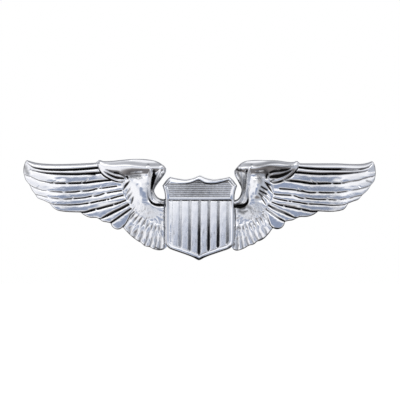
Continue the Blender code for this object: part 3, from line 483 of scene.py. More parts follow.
    # dark line round the lobe
    R2.groove(LOBE_EDGE, [0.35 * K, 0.5 * K, 0.6 * K, 0.7 * K, 0.6 * K, 0.45 * K],
              [0.04, 0.10, 0.18, 0.24, 0.18, 0.08], [0.05, 0.3, 0.85, 1.0, 0.75, 0.35])
    cut = np.maximum(R.cut, R2.cut)
    pat_shade = np.maximum(np.maximum(R.pat_shade, R2.pat_shade), np.maximum(hollow_shade, bend_shade))
    low_edge = ss(9.0, 6.0, z) * ss(0.20, 0.04, dout)
    pat_shade = np.maximum(pat_shade, 0.20 * ss(0.09, 0.0, dout) + 0.46 * low_edge * ss(38.0, 24.0, u))
    pat_shade = pat_shade + 0.05 * np.clip(waves(u * 0.5, z, 0.55, 77), 0, 1) * ss(6.0, 20.0, u)
    # painted shade on the second vane, and a darker patch on the feathers beside the coverts, low down
    feather_shade = 0.13 * S[2] * ss(21.0, 23.5, u) * ss(33.0, 29.0, u) * (1 - m_lobe)
    feather_shade += 0.10 * ss(14.5, 16.5, u) * ss(24.0, 19.0, u) * ss(1.8, 0.8, z) * (1 - m_body)
    pat_shade = pat_shade + feather_shade
    h = h - cut
    # rounded outer edge
    r = 0.30
    q = np.clip(dout / r, 0, 1)
    h = h - 0.36 * (1 - np.sqrt(np.clip(1 - (1 - q) ** 2, 0, 1)))
    satin = 0.22 - 0.06 * S[2] + 0.34 * m_body * ss(3.2, 0.5, z) - 0.20 * np.maximum(m_lobe, np.exp(-(d2 / 1.0) ** 2))
    pat_shade = pat_shade + 0.10 * np.exp(-(((u - 37.3) / 0.9) ** 2 + ((z - 8.4) / 1.0) ** 2) ** 2)
    return np.maximum(h, 0.75), np.clip(pat_shade, 0, 1), dout, np.clip(satin, 0, 1)


SHIELD_RUNS = [
    [(0.0, 7.50), (0.55, 7.28), (1.4, 6.92), (3.0, 6.62), (4.7, 6.82), (6.35, 7.16)],
    [(6.35, 7.16), (7.2, 6.38), (8.02, 5.22)],
    [(8.02, 5.22), (7.78, 4.45), (7.56, 3.6), (7.48, 2.6), (7.47, 0.5), (7.47, -4.0), (7.42, -6.6),
     (7.2, -7.45), (6.6, -8.15)],
    [(6.6, -8.15), (5.9, -8.5), (4.2, -9.08), (2.2, -9.78), (1.0, -10.28), (0.42, -10.62), (0.0, -10.76)],
]
BAR_PITCH = 2.035
BAR_MID = -0.06
CHIEF_Z = (2.74, 2.34)      # the plain ledge under the lined chief
BAR_PATINA_AND_GLARE = [0.10, 0.40, 0.60, 0.84, 0.84, 0.86, 0.56]
CHIEF_TOP = [(-7.05, 4.7), (-6.75, 5.45), (-6.2, 5.62), (-5.2, 5.62), (-3.6, 5.62), (-2.5, 5.68), (-1.6, 5.92), (-0.8, 6.28),
             (-0.2, 6.46), (0.35, 6.18), (1.1, 5.76), (2.2, 5.62), (3.3, 5.66), (4.3, 5.84), (5.2, 6.08), (6.0, 6.36),
             (6.45, 6.16), (6.85, 5.6), (7.0, 4.8)]
TOP_DARK = [0.15, 0.25, 0.30, 0.30, 0.42, 0.62, 0.85, 0.70, 0.55, 0.62, 0.95, 1.0, 1.0, 0.95, 0.95, 0.85, 0.6, 0.35, 0.15]
RIM_Z = ([-11.0, -8.0, -4.0, 0.0, 2.4, 4.0, 7.5], [3.385, 3.35, 3.13, 2.90, 2.80, 2.98, 3.04])


def shield_outline():
    half = [catmull(r) for r in SHIELD_RUNS]
    c = np.vstack([p[:-1] for p in half[:-1]] + [half[-1]])
    m = c[1:-1][::-1].copy()
    m[:, 0] *= -1
    o = np.vstack([c, m])[::-1]
    o[:, 0] -= 0.17 * ss(-6.2, -10.7, o[:, 1])      # the point is cut a little off centre
    return o


def shield_relief(P):
    """Height of the shield's front, its dark oxide with some painted shade and a painted shadow, distance to the edge
    and satin finish.
    """
    x, z = P[:, 0], P[:, 1]
    d = to_poly(P, shield_outline(), 3.0)
    pat_shade = np.zeros(len(P))
    # raised rim with a steep outer face and a slow bevel down to the field
    q = np.clip(d / 0.40, 0, 1)
    low = ss(-6.4, -8.2, z)
    crest = np.interp(z, *RIM_Z)
    rim = crest - 0.64 * (1 - np.sin(q * np.pi / 2) ** 0.9)
    bar_z = np.clip(z + 9.5, 0, 11.9)
    floor = np.where(z < 2.22, 3.31 - 0.035 * bar_z - 0.0034 * bar_z ** 2, 2.84 - 0.02 * (z - 2.4))
    inner = np.clip((d - 0.50 - 0.26 * low) / (0.50 - 0.26 * low), 0, 1)
    rim = rim - 0.03 * low * np.clip((d - 0.40) / 0.40, 0, 1)
    h = rim * (1 - inner) + floor * inner
    # the top of the field is cut freehand under the rim
    top = np.array(CHIEF_TOP)
    g, s, _ = to_line(P, catmull(top), 3.0)
    over = np.interp(x, top[2:-2, 0], top[2:-2, 1])
    roof = ss(-0.02, 0.05, z - over) * ss(4.9, 5.3, z)
    lip = crest + (0.085 - 0.03 * ss(0.0, 3.0, x)) * np.clip((d - 0.45) / 0.6, 0, 1) - 0.64 * (1 - np.sin(q * np.pi / 2) ** 0.9)
    h = h * (1 - roof) + lip * roof
    # the line under the rim is cut and darkened; its darkness rising from left to right is painted shade, the left
    # lying in the light
    td = along(TOP_DARK, s)
    h -= 0.08 * td * np.exp(-(g / 0.12) ** 2)
    pat_shade = np.maximum(pat_shade, td * np.exp(-(g / (0.10 + 0.10 * td)) ** 2))
    line = np.exp(-((d - 0.98) / 0.08) ** 2) * (1 - roof) * (1 - low)
    pat_shade = np.maximum(pat_shade, 0.16 * line)
    field = ss(0.90, 1.04, d) * (1 - roof)
    # lined chief: even horizontal lines, darkened all over and most in the lines
    chief = field * ss(CHIEF_Z[0] - 0.02, CHIEF_Z[0] + 0.06, z)
    lined = chief
    ph = (z - 2.90) / 0.428
    groove = np.exp(-(((ph - np.round(ph)) * 0.428) / 0.085) ** 2) * (z > 2.8)
    h -= 0.035 * lined * groove + 0.02 * lined
    worn = 0.24 + 0.12 * np.exp(-((x + 0.6) / 3.6) ** 2) + 0.14 * ss(5.5, 6.0, z)
    pat_shade = np.maximum(pat_shade, lined * (worn + 0.34 * groove + 0.05 * waves(x * 0.5, z * 3.0, 1.0, 31)))
    # ledge and the dark line under it
    ledge = field * ss(CHIEF_Z[1] - 0.03, CHIEF_Z[1] + 0.10, z) * ss(CHIEF_Z[0] + 0.10, CHIEF_Z[0] - 0.04, z)
    h += 0.05 * ledge - 0.13 * ledge * np.clip((CHIEF_Z[0] - z) / 0.50, 0, 1)
    dl = np.abs(z - 2.13)
    h -= 0.10 * np.exp(-(dl / 0.14) ** 2) * ss(0.62, 0.8, d)
    dark = 0.42 + 0.06 * ss(-4, 2, x) + 0.38 * ss(2.0, 4.6, x)
    pat_shade = np.maximum(pat_shade, dark * np.exp(-(dl / 0.19) ** 4) * ss(0.70, 0.94, d))
    # upright bars between channels
    bars = field * ss(2.10, 1.96, z)
    xb = x - BAR_MID + 0.012 * (2.0 - z) * ss(2.0, 0.0, z)
    k = np.clip(np.round(xb / BAR_PITCH), -3, 3)
    off = np.abs(xb - k * BAR_PITCH)
    half_w = 0.22 + 0.07 * ss(1.0, -8.0, z)
    room = np.clip(d - 1.04, 0, 0.6)          # channels end in a half round above the lower rim
    wch = half_w * np.clip(room / 0.26, 0, 1) ** 0.5
    ch = ss(wch + 0.11, wch - 0.05, off) * (room > 0)
    crown = 0.10 * np.sqrt(np.clip(1 - (np.abs(((xb / BAR_PITCH) % 1.0) - 0.5) / 0.5) ** 2, 0, 1))
    h += bars * (0.02 + crown) * (1 - ch) - bars * 0.17 * ch
    # patina in each channel, left to right; the first channel is kept pale as a painted highlight, and all grow darker
    # towards the bottom
    pk = np.interp(k, np.arange(-3, 4), BAR_PATINA_AND_GLARE)
    deep = ss(2.0, -7.5, z)
    soft = np.clip(pk * (0.50 + 0.62 * deep), 0, 1)
    pat_shade = np.maximum(pat_shade, bars * ss(wch + 0.05, wch - 0.10, off) * (room > 0) * soft)
    h += 0.0060 * bars * (1 - ch) * waves(x * 6.0, z * 0.55, 1.5, 21)
    mott = np.clip(waves(x * 1.6, z * 0.55, 1.1, 57), 0, 1) * ss(1.0, -5.0, z)
    pat_shade = np.maximum(pat_shade, bars * (1 - ch) * 0.32 * mott)
    h += 0.004 * field * waves(x, z, 1.6, 4)
    pat_shade = np.maximum(pat_shade, 0.25 * ss(0.13, 0.0, d) * (1 - low))
    pat_shade = np.maximum(pat_shade, low * (0.60 + 0.38 * ss(2.4, 0.5, np.abs(x))) * ss(0.46 + 0.22 * ss(1.6, 0.2, np.abs(x + 0.17)), 0.30, d))
    # two short dashes cut in each ear
    ax = np.abs(x)
    for (p0, p1) in (((6.45, 6.15), (7.35, 5.20)), ((6.75, 6.35), (7.55, 5.50))):
        g, _, _ = to_line(np.stack([ax, z], 1), np.array([p0, p1]), 1.0)
        pat_shade = np.maximum(pat_shade, 0.75 * np.exp(-(g / 0.085) ** 2))
        h -= 0.06 * np.exp(-(g / 0.10) ** 2)
    # painted shadow at the shield's lower right corner, where it lies over the wing
    pat_shade = np.maximum(pat_shade, 0.85 * np.exp(-(((x - 6.55) / 0.55) ** 2 + ((z + 7.95) / 0.40) ** 2)))
    satin = bars * (1 - ch) * 0.66 + 0.30 * chief + 0.05
    return h, np.clip(pat_shade, 0, 1), d, np.clip(satin, 0, 1)


# ------------------------------------------------------------------ relief meshes
def web_half():
    top = [(0.0, 7.0), (1.3, 6.5), (2.96, 6.05), (4.9, 6.3), (6.1, 6.45), (6.9, 5.85),
           (7.35, 5.1), (7.1, 4.3), (6.9, 3.3), (6.95, 2.6), (7.45, 2.3)]
    low = [(7.0, -7.75), (6.4, -7.7), (5.0, -8.3), (3.4, -8.95), (1.9, -9.5), (0.9, -9.95), (0.0, -10.3)]
    return catmull(top, 0.3), catmull(low, 0.3)


def wing_outline():
    """Outline of the +X wing alone, without the web behind the shield."""
    runs = [HOOK_OUT, ARM_TOP, LEADING] + FEATHER_ENDS
    pts = [catmull(r) for r in runs]
    c = np.vstack([p[:-1] for p in pts[:-1]] + [pts[-1]])
    return np.vstack([c, [(7.0, -7.75), (7.0, 2.0), (7.5, 2.3)]])


_lead = catmull(LEADING)
_lo = np.argsort(_lead[:, 0])
LEAD_X, LEAD_Z = _lead[_lo, 0], _lead[_lo, 1]


class HandCut:
    """The two dies were cut by hand: the +X wing's details sit slightly elsewhere
    than a mirror of the -X wing.  Thin-plate displacement through the landmarks."""

    def __init__(self, marks):
        m = np.array(marks)
        edge = np.array([(6.0, q, 0, 0) for q in (-10.5, -6.0, -1.0, 4.0, 9.0)])
        m = np.vstack([m, edge])
        self.c, d = m[:, :2], m[:, 2:]
        n = len(m)
        A = np.zeros((n + 3, n + 3))
        A[:n, :n] = self.kernel(self.c) + 0.8 * np.eye(n)
        A[:n, n], A[:n, n + 1:] = 1, self.c
        A[n:, :n] = A[:n, n:].T
        self.w = np.linalg.solve(A, np.vstack([d, np.zeros((3, 2))]))

    def kernel(self, P):
        r2 = ((P[:, None, :] - self.c[None]) ** 2).sum(2)
        return 0.5 * r2 * np.log(np.maximum(r2, 1e-12))

    def shift(self, P):
        out = np.empty_like(P)
        for i in range(0, len(P), 20000):
            q = P[i:i + 20000]
            out[i:i + 20000] = self.kernel(q) @ self.w[:-3] + self.w[-3] + q @ self.w[-2:]
        return out * ss(6.3, 7.7, P[:, 0])[:, None]

    def place(self, P):
        return P + self.shift(P)

    def recover(self, Q):
        P = Q.copy()
        for _ in range(7):
            P = Q - self.shift(P)
        return P


def plate_outline():
    """Closed outline of the whole struck plate, clockwise seen from the front."""
    top, low = web_half()
    runs = [HOOK_OUT, ARM_TOP, LEADING] + FEATHER_ENDS
    pts = [catmull(r) for r in runs]
    c = np.vstack([top[:-1]] + [p[:-1] for p in pts] + [low])
    m = c[1:-1][::-1].copy()
    m[:, 0] *= -1
    return np.vstack([HAND.place(c), m])


# Dark strokes on the +X wing, patina together with painted shade where the metal mirrors dark and a painted shadow
# beside the shield: points, half width, strength.
PATINA_SHADE = [
    ([(12.2, 9.45), (14.1, 9.4), (16.3, 9.3), (18.4, 9.25), (20.0, 9.5)], 0.42, 0.38),
    ([(16.2, 9.2), (17.6, 9.15), (19.6, 9.55)], 0.26, 0.55),
    ([(14.0, 7.5), (15.6, 7.35), (17.4, 7.7), (19.4, 8.5)], 0.24, 0.55),
    ([(8.1, 8.1), (8.7, 7.0), (9.05, 5.8), (9.35, 4.45), (9.0, 3.4), (8.3, 2.55)], 0.34, 0.55),
    ([(14.1, 5.88), (15.1, 5.36)], 0.22, 1.0),
    ([(13.25, 5.0), (14.45, 4.3)], 0.22, 1.0),
    ([(12.9, 4.15), (14.3, 3.45)], 0.22, 1.0),
    ([(12.7, 3.54), (13.4, 2.94)], 0.20, 0.85),
    ([(15.2, 6.2), (16.0, 6.57)], 0.18, 0.80),
    ([(9.5, -0.3), (10.2, -0.15), (9.8, -0.45)], 0.16, 0.60),
    ([(18.5, -0.9), (19.8, -1.4), (20.9, -1.74)], 0.20, 0.90),
    # painted shadow where the shield's lower corner lies over the wing
    ([(6.5, -7.75), (7.2, -7.45)], 0.36, 0.90),
    ([(15.2, 6.35), (16.5, 6.0), (17.9, 6.1), (19.2, 6.9), (20.3, 8.0)], 0.36, 0.32),
    ([(15.95, -3.85), (17.0, -3.95), (18.0, -3.8)], 0.17, 0.90),
    ([(12.7, -6.45), (13.8, -6.0), (14.9, -5.3)], 0.15, 0.80),
    ([(6.9, -8.6), (8.2, -8.7), (9.7, -8.35)], 0.15, 0.80),
    ([(37.85, 9.7), (38.0, 8.6), (37.95, 7.4)], 0.20, 0.80),
]

PATINA_SHADE += [
    ([(12.5, 7.7), (12.8, 7.0), (12.9, 6.2)], 0.70, 0.52),
    ([(8.0, 8.7), (8.4, 8.5), (8.8, 8.6)], 0.38, 0.80),
    ([(8.5, -0.2), (9.4, -0.6)], 0.48, 0.56),
    ([(10.2, 0.9), (10.8, 0.4)], 0.50, 0.48),
    ([(35.9, 6.3), (36.9, 6.0)], 0.24, 0.50),
    ([(21.0, 4.15), (22.6, 3.9)], 0.20, 0.90),
    ([(8.0, 2.7), (8.5, 2.3)], 0.30, 0.32),
]
# Strokes where that darkening is lifted again, as painted highlights: points, half width, amount.
LIGHTENED = [
    ([(14.6, 8.75), (15.8, 8.8), (17.0, 8.7)], 0.36, 0.65),
    ([(18.2, 6.4), (19.2, 6.6), (20.2, 7.2)], 0.40, 0.60),
    ([(9.7, 7.6), (9.9, 6.4), (10.1, 5.2)], 0.50, 0.45),
    ([(30.6, 8.5), (32.0, 8.6), (34.0, 8.7)], 0.42, 0.60),
    ([(31.2, 6.2), (32.6, 6.3)], 0.35, 0.80),
]
# The same for the -X wing, with u counted away from the middle.
PATINA_SHADE_L = [
    ([(12.9, 7.3), (13.9, 7.3), (15.0, 7.3)], 0.50, 0.58),
    ([(7.8, 7.7), (8.4, 6.6), (8.9, 5.5), (9.2, 4.4), (9.1, 3.4), (8.7, 2.6), (8.0, 2.1)], 0.36, 0.60),
    ([(26.0, 7.75), (24.3, 7.68), (22.5, 7.6)], 0.17, 0.90),
    ([(7.9, -8.4), (8.6, -8.45), (9.6, -8.0)], 0.20, 0.70),
    ([(37.6, 9.3), (37.4, 8.6), (37.0, 7.9)], 0.55, 0.44),
]
# Strokes where the darkening is lifted again on the -X wing, as painted highlights.
LIGHTENED_L = [
    ([(10.9, 8.9), (12.0, 9.0), (13.7, 9.2), (15.0, 9.2)], 0.55, 0.85),
    ([(10.2, 8.3), (10.1, 8.7)], 0.40, 0.60),
    ([(16.0, 8.0), (17.0, 7.9)], 0.40, 0.45),
    ([(18.6, 8.2), (19.8, 8.3)], 0.35, 0.40),
]


def touch(P, pat_shade, dark, lighten):
    """Lightens the dark along some strokes and lays dark oxide and painted shade along others."""
    for pts, w, amount in lighten:
        g, _, _ = to_line(P, catmull(pts), 1.5)
        pat_shade = pat_shade * (1 - amount * np.exp(-(g / w) ** 2))
    for pts, w, amount in dark:
        g, _, _ = to_line(P, catmull(pts), 1.5)
        pat_shade = np.maximum(pat_shade, amount * np.exp(-(g / w) ** 2))
    return pat_shade


def side_patina_shade(P, Q, pat_shade, d):
    """Patina and painted shade of the +X wing: heavier in the shoulder, with a painted shadow under the hook where it
    meets the shield, lighter on the last quills.
    """
    u, z = Q[:, 0], Q[:, 1]
    spread = np.exp(-(((u - 16.2) / 2.7) ** 2 + ((z + 0.6) / 1.5) ** 2) ** 2)
    pat_shade = pat_shade * (1 - 0.62 * spread)
    pat_shade = pat_shade * (1 - 0.35 * np.exp(-(((u - 10.1) / 0.8) ** 2 + ((z - 6.5) / 2.6) ** 2) ** 2))
    # painted shade over the lobe and a painted shadow under the hook
    pat_shade = pat_shade + 0.34 * np.exp(-(((u - 18.4) / 3.4) ** 2 + ((z - 8.0) / 1.5) ** 2) ** 1.5)
    pat_shade = pat_shade + 0.62 * np.exp(-(((u - 8.95) / 1.25) ** 2 + ((z - 1.0) / 0.78) ** 2) ** 3)
    pat_shade = pat_shade + 0.12 * np.exp(-(((u - 10.5) / 3.0) ** 2 + ((z + 0.6) / 2.2) ** 2) ** 2)
    pat_shade = pat_shade + 0.07 * ss(20.0, 22.0, u) * ss(8.2, 7.6, z) * ss(34.0, 29.0, u)
    pat_shade = np.maximum(pat_shade, 0.72 * ss(0.26, 0.08, d) * ss(9.0, 6.0, z) * ss(36.5, 33.5, u))
    return np.clip(touch(P, pat_shade, PATINA_SHADE, LIGHTENED), 0, 1)


def plate_height(P):
    Q = P.copy()
    right = P[:, 0] > 0
    Q[right] = HAND.recover(P[right])
    Q[~right, 0] *= -1
    h, pat_shade, d, sat = wing_relief(Q)
    left = ~right
    if left.any():
        pat_shade[left] = touch(Q[left], pat_shade[left], PATINA_SHADE_L, LIGHTENED_L)
    if right.any():
        pat_shade[right] = side_patina_shade(P[right], Q[right], pat_shade[right], d[right])
        # a second soft fold in the thigh of this wing
        fold = np.abs(P[:, 0] - 12.45) / 0.85
        h = h + right * 0.26 * np.exp(-fold ** 2) * ss(8.4, 7.4, P[:, 1]) * ss(2.2, 3.4, P[:, 1])
    web = ss(7.72, 7.60, Q[:, 0]) * ss(2.5, 2.2, Q[:, 1])
    web = np.maximum(web, ss(7.45, 7.3, Q[:, 0]) * ss(7.5, 7.2, Q[:, 1]))
    h = h * (1 - web) + 1.2 * web
    return h, pat_shade * (1 - web), d, sat


HAND = HandCut(LANDMARKS)


def rows(line, offsets, step=0.15):
    """Points along a polyline and on lines beside it."""
    seg = np.linalg.norm(np.diff(line, axis=0), axis=1)
    L = np.concatenate([[0], np.cumsum(seg)])
    n = max(2, int(L[-1] / step))
    s = np.linspace(0, L[-1], n)
    p = np.stack([np.interp(s, L, line[:, 0]), np.interp(s, L, line[:, 1])], 1)
    t = np.gradient(p, axis=0)
    t /= np.maximum(np.linalg.norm(t, axis=1), 1e-9)[:, None]
    nrm = np.stack([-t[:, 1], t[:, 0]], 1)
    out = []
    for i, o in enumerate(offsets):
        sh = 0.5 * (i % 2) * (L[-1] / n)
        out.append(p + nrm * o + t * sh)
    return np.vstack(out)


def thin(points, cell, taken=None):
    """Drops points that fall in a cell already used; keeps the earlier ones."""
    seen = set() if taken is None else taken
    keep = []
    key = np.floor(points / cell).astype(int)
    for i, (a, b) in enumerate(key):
        if (a, b) in seen:
            continue
        seen.add((a, b))
        keep.append(i)
    return points[keep], seen


def relief_object(name, outline, feature_points, grid, height, back_y, recesses=(), wall_lip=0.07):
    """Closed solid: modelled front, rounded walls and a flat back."""
    loop = outline
    ctr = to_poly  # signed distance, positive inside
    feats, _ = thin(feature_points, 0.045)
    din = ctr(feats, loop, 1.0)
    feats = feats[din > 0.035]
    used = np.floor(feats / 0.11).astype(int)
    marked = set()
    for a, b in used:
        marked.add((a, b))
    lo, hi = loop.min(0), loop.max(0)
    nx = int((hi[0] - lo[0]) / grid) + 1
    nz = int((hi[1] - lo[1]) / (grid * 0.866)) + 1
    gx, gz = np.meshgrid(np.arange(nx), np.arange(nz))
    G = np.stack([lo[0] + (gx + 0.5 * (gz % 2)) * grid, lo[1] + gz * grid * 0.866], -1).reshape(-1, 2)
    keep = np.array([(a, b) not in marked for a, b in np.floor(G / 0.11).astype(int)])
    G = G[keep]
    dg = ctr(G, loop, 1.0)
    G = G[dg > 0.10]
    # rings just inside the outline
    ring = []
    t = np.roll(loop, -1, 0) - np.roll(loop, 1, 0)
    t /= np.maximum(np.linalg.norm(t, axis=1), 1e-9)[:, None]
    inward = np.stack([t[:, 1], -t[:, 0]], 1)
    if in_poly(loop[:1] + inward[:1] * 0.05, loop)[0] == False:
        inward = -inward
    for o in (0.035, 0.085, 0.16, 0.26):
        q = loop + inward * o
        dq = ctr(q, loop, 1.0)
        ring.append(q[dq > o * 0.85])
    ring = np.vstack(ring)
    ring, _ = thin(ring, 0.03)
    inner = np.vstack([ring, feats, G])
    n = len(loop)
    pts = [Vector((float(a), float(b))) for a, b in np.vstack([loop, inner])]
    edges = [(i, (i + 1) % n) for i in range(n)]
    v, e, f, ov, oe, of_ = delaunay_2d_cdt(pts, edges, [], 1, 1e-5)
    V = np.array([tuple(q) for q in v])
    F = np.array([list(t) for t in f])
    h, pat_shade, _, sat = height(V)
    # boundary loop in order
    cnt = {}
    for tri in F:
        for i in range(3):
            a, b = int(tri[i]), int(tri[(i + 1) % 3])
            cnt[(a, b)] = cnt.get((a, b), 0) + 1
    nxt = {a: b for (a, b) in cnt if (b, a) not in cnt}
    start = next(iter(nxt))
    order = [start]
    while nxt[order[-1]] != start:
        order.append(nxt[order[-1]])
    B = V[order]
    m = len(order)
    t = np.roll(B, -1, 0) - np.roll(B, 1, 0)
    t /= np.maximum(np.linalg.norm(t, axis=1), 1e-9)[:, None]
    inward = np.stack([-t[:, 1], t[:, 0]], 1)     # loop runs counter-clockwise
    verts = [(a * MM, -hh * MM, b * MM) for (a, b), hh in zip(V, h)]
    pat_shades = list(pat_shade)
    faces = [tuple(int(i) for i in t) for t in F]
    base = len(verts)
    for a, b in B:                                    # low edge of the wall
        verts.append((a * MM, (back_y - wall_lip) * MM, b * MM)); pat_shades.append(0.15)
    cap = len(verts)
    Bi = B + inward * wall_lip * 0.8
    # back: same loop moved in a little, with round seats
    rings, seats = [], []
    NS = 40
    for cx, cz, r, dep in recesses:
        rings.append([(cx + r * math.cos(2 * math.pi * i / NS), cz + r * math.sin(2 * math.pi * i / NS)) for i in range(NS)])
    bp = [Vector((float(a), float(b))) for a, b in Bi]
    be = [(i, (i + 1) % m) for i in range(m)]
    for rg in rings:
        k0 = len(bp)
        bp += [Vector(q) for q in rg]
        be += [(k0 + i, k0 + (i + 1) % NS) for i in range(NS)]
    bgrid = 1.3
    gx = np.arange(lo[0], hi[0], bgrid)
    gz = np.arange(lo[1], hi[1], bgrid)
    BG = np.array([(a, b) for a in gx for b in gz])
    BG = BG[ctr(BG, loop, 3.0) > 0.5]
    for cx, cz, r, dep in recesses:
        BG = BG[np.abs(np.hypot(BG[:, 0] - cx, BG[:, 1] - cz) - r) > 0.25]
    bp += [Vector((float(a), float(b))) for a, b in BG]
    bv, bee, bf, bov, boe, bof = delaunay_2d_cdt(bp, be, [], 1, 1e-6)
    BV = np.array([tuple(q) for q in bv])
    first = {}
    for i, o in enumerate(bov):
        for j in o:
            first[j] = i
    flat, deep = {}, {}

    def at_back(i):
        if i not in flat:
            flat[i] = len(verts); verts.append((BV[i][0] * MM, back_y * MM, BV[i][1] * MM)); pat_shades.append(0.0)
        return flat[i]

    def at_seat(i, dep):
        if i not in deep:
            deep[i] = len(verts); verts.append((BV[i][0] * MM, (back_y - dep) * MM, BV[i][1] * MM)); pat_shades.append(0.3)
        return deep[i]

    for tri in bf:
        cx = sum(BV[i][0] for i in tri) / 3
        cz = sum(BV[i][1] for i in tri) / 3
        which = None
        for (rx, rz, r, dep) in recesses:
            if math.hypot(cx - rx, cz - rz) < r:
                which = dep
        faces.append(tuple((at_back(i) if which is None else at_seat(i, which)) for i in reversed(tri)))
    for i in range(m):
        j = (i + 1) % m
        a, b = order[i], order[j]
        faces.append((a, base + i, base + j, b))
        faces.append((base + i, at_back(first[i]), at_back(first[j]), base + j))
    k0 = m
    for (cx, cz, r, dep) in recesses:
        for i in range(NS):
            a, b = first[k0 + i], first[k0 + (i + 1) % NS]
            faces.append((at_back(a), at_back(b), at_seat(b, dep), at_seat(a, dep)))
        k0 += NS
    me = bpy.data.meshes.new(name)
    me.from_pydata(verts, [], faces)
    me.update()
    bm = bmesh.new()
    bm.from_mesh(me)
    bmesh.ops.recalc_face_normals(bm, faces=bm.faces)
    bm.to_mesh(me)
    bm.free()
    # the dark attribute: oxide in the cuts together with painted shade and painted shadows
    for key, vals in (("patina_and_shade", pat_shades), ("satin", list(sat) + [0.5] * (len(pat_shades) - len(sat)))):
        at = me.attributes.new(key, "FLOAT", "POINT")
        at.data.foreach_set("value", np.array(vals, np.float32))
    me.shade_smooth()
    me.set_sharp_from_angle(angle=math.radians(58))
    ob = bpy.data.objects.new(name, me)
    bpy.context.scene.collection.objects.link(ob)
    print(name, len(verts), "vertices", sum(len(p.vertices) - 2 for p in me.polygons), "triangles")
    return ob


def wing_feature_points():
    wide = (0.0, -0.07, 0.07, -0.15, 0.15, -0.24, 0.24, -0.34, 0.34)
    mid = (0.0, -0.055, 0.055, -0.12, 0.12, -0.20, 0.20, -0.29, 0.29)
    out = []
    for v in GROOVES.values():
        out.append(rows(catmull(v[0]), wide))
    for v in LINES.values():
        out.append(rows(catmull(v[0]), mid))
    for v in COVERTS.values():
        out.append(rows(catmull(v[0]), mid))
    for a, b, w, p in TICKS:
        out.append(rows(catmull([a, b]), (0, -0.05, 0.05, -0.11, 0.11), 0.12))
    for v in (R1_LEFT, WEDGE, HOOK_IN):
        out.append(rows(catmull(v[0]), wide))
    out.append(rows(catmull(LOBE_EDGE), mid))
    out.append(rows(catmull(R1_CREST), (0.0, -0.1, 0.1, -0.2, 0.2, -0.32, 0.32)))
    out.append(rows(catmull(WEDGE_LINE), (0, -0.05, 0.05, -0.1, 0.1)))
    out.append(rows(catmull(COVERT_EDGE), (0, -0.06, 0.06, -0.13, 0.13)))
    for v in list(DOWN_UP.values()) + list(DOWN_LOW.values()):
        out.append(rows(catmull(v), (0, -0.06, 0.06, -0.13, 0.13, -0.21, 0.21)))
    out.append(rows(catmull(TIER), (0, -0.06, 0.06, -0.12, 0.12)))
    out.append(rows(np.array([(7.66, 2.3), (7.66, -8.0)]), (0, -0.03, 0.03, 0.07, -0.07), 0.3))
    R = np.vstack(out)
    Lp = R.copy()
    Lp[:, 0] *= -1
    R = HAND.place(R[R[:, 0] > 0])
    Lp = Lp[Lp[:, 0] < 0]
    return np.vstack([R, Lp])


def shield_feature_points():
    out = []
    o = shield_outline()
    t = np.roll(o, -1, 0) - np.roll(o, 1, 0)
    t /= np.linalg.norm(t, axis=1)[:, None]
    nrm = np.stack([-t[:, 1], t[:, 0]], 1)
    for s in (0.42, 0.50, 0.58, 0.70, 0.82, 0.90, 0.98, 1.06):
        q = o + nrm * s
        dq = to_poly(q, o, 2.0)
        out.append(q[np.abs(dq - s) < 0.03])
    for k in range(-3, 4):
        for s in (0.0, 0.12, 0.20, 0.26, 0.31, 0.37, 0.44):
            for sg in ((1, -1) if s else (1,)):
                x = BAR_MID + k * BAR_PITCH + s * sg
                out.append(rows(np.array([(x, 2.1), (x, 1.4), (x - 0.144, -10.2)]), (0.0,), 0.16))
    for z in [2.90 + 0.428 * i for i in range(0, 9)]:
        for s in (0.0, 0.06, -0.06, 0.13, -0.13, 0.2):
            out.append(rows(np.array([(-7.2, z + s), (7.2, z + s)]), (0.0,), 0.2))
    out.append(rows(catmull(CHIEF_TOP), (0.0, 0.06, -0.06, 0.12, -0.12, 0.19, -0.19), 0.12))
    for s in (0.0, 0.06, -0.06, 0.12, -0.12, 0.19, -0.19, 0.26, 0.34, 0.42, 0.5, 0.58, 0.65):
        z = 2.13 + s
        out.append(rows(np.array([(-7.3, z), (7.3, z)]), (0.0,), 0.2))
    return np.vstack(out)


# ------------------------------------------------------------------ materials
def new_material(name):
    m = bpy.data.materials.new(name)
    m.use_nodes = True
    t = m.node_tree
    return m, t, t.nodes["Principled BSDF"]


def node(t, kind, **kw):
    n = t.nodes.new(kind)
    for k, v in kw.items():
        setattr(n, k, v)
    return n


def noise(t, vec, scale, detail=3.0, rough=0.55, stretch=None, turn=None):
    if stretch or turn:
        mp = node(t, "ShaderNodeMapping")
        mp.inputs["Scale"].default_value = stretch or (1, 1, 1)
        mp.inputs["Rotation"].default_value = turn or (0, 0, 0)
        t.links.new(vec, mp.inputs["Vector"])
        vec = mp.outputs["Vector"]
    n = node(t, "ShaderNodeTexNoise")
    n.inputs["Scale"].default_value = scale
    n.inputs["Detail"].default_value = detail
    n.inputs["Roughness"].default_value = rough
    t.links.new(vec, n.inputs["Vector"])
    return n.outputs["Fac"]


def ramp(t, fac, stops):
    r = node(t, "ShaderNodeValToRGB")
    e = r.color_ramp.elements
    while len(e) > 1:
        e.remove(e[-1])
    e[0].position = stops[0][0]
    e[0].color = (*stops[0][1], 1) if not isinstance(stops[0][1], float) else (stops[0][1],) * 3 + (1,)
    for p, c in stops[1:]:
        n = e.new(p)
        n.color = (*c, 1) if not isinstance(c, float) else (c, c, c, 1)
    t.links.new(fac, r.inputs["Fac"])
    return r.outputs["Color"]


def mixed(t, fac, a, b, blend="MIX"):
    m = node(t, "ShaderNodeMix", data_type="RGBA", blend_type=blend)
    for sock, v in ((m.inputs["Factor"], fac), (m.inputs["A"], a), (m.inputs["B"], b)):
        if isinstance(v, (int, float)):
            sock.default_value = v
        elif isinstance(v, tuple):
            sock.default_value = (*v, 1)
        else:
            t.links.new(v, sock)
    return m.outputs["Result"]


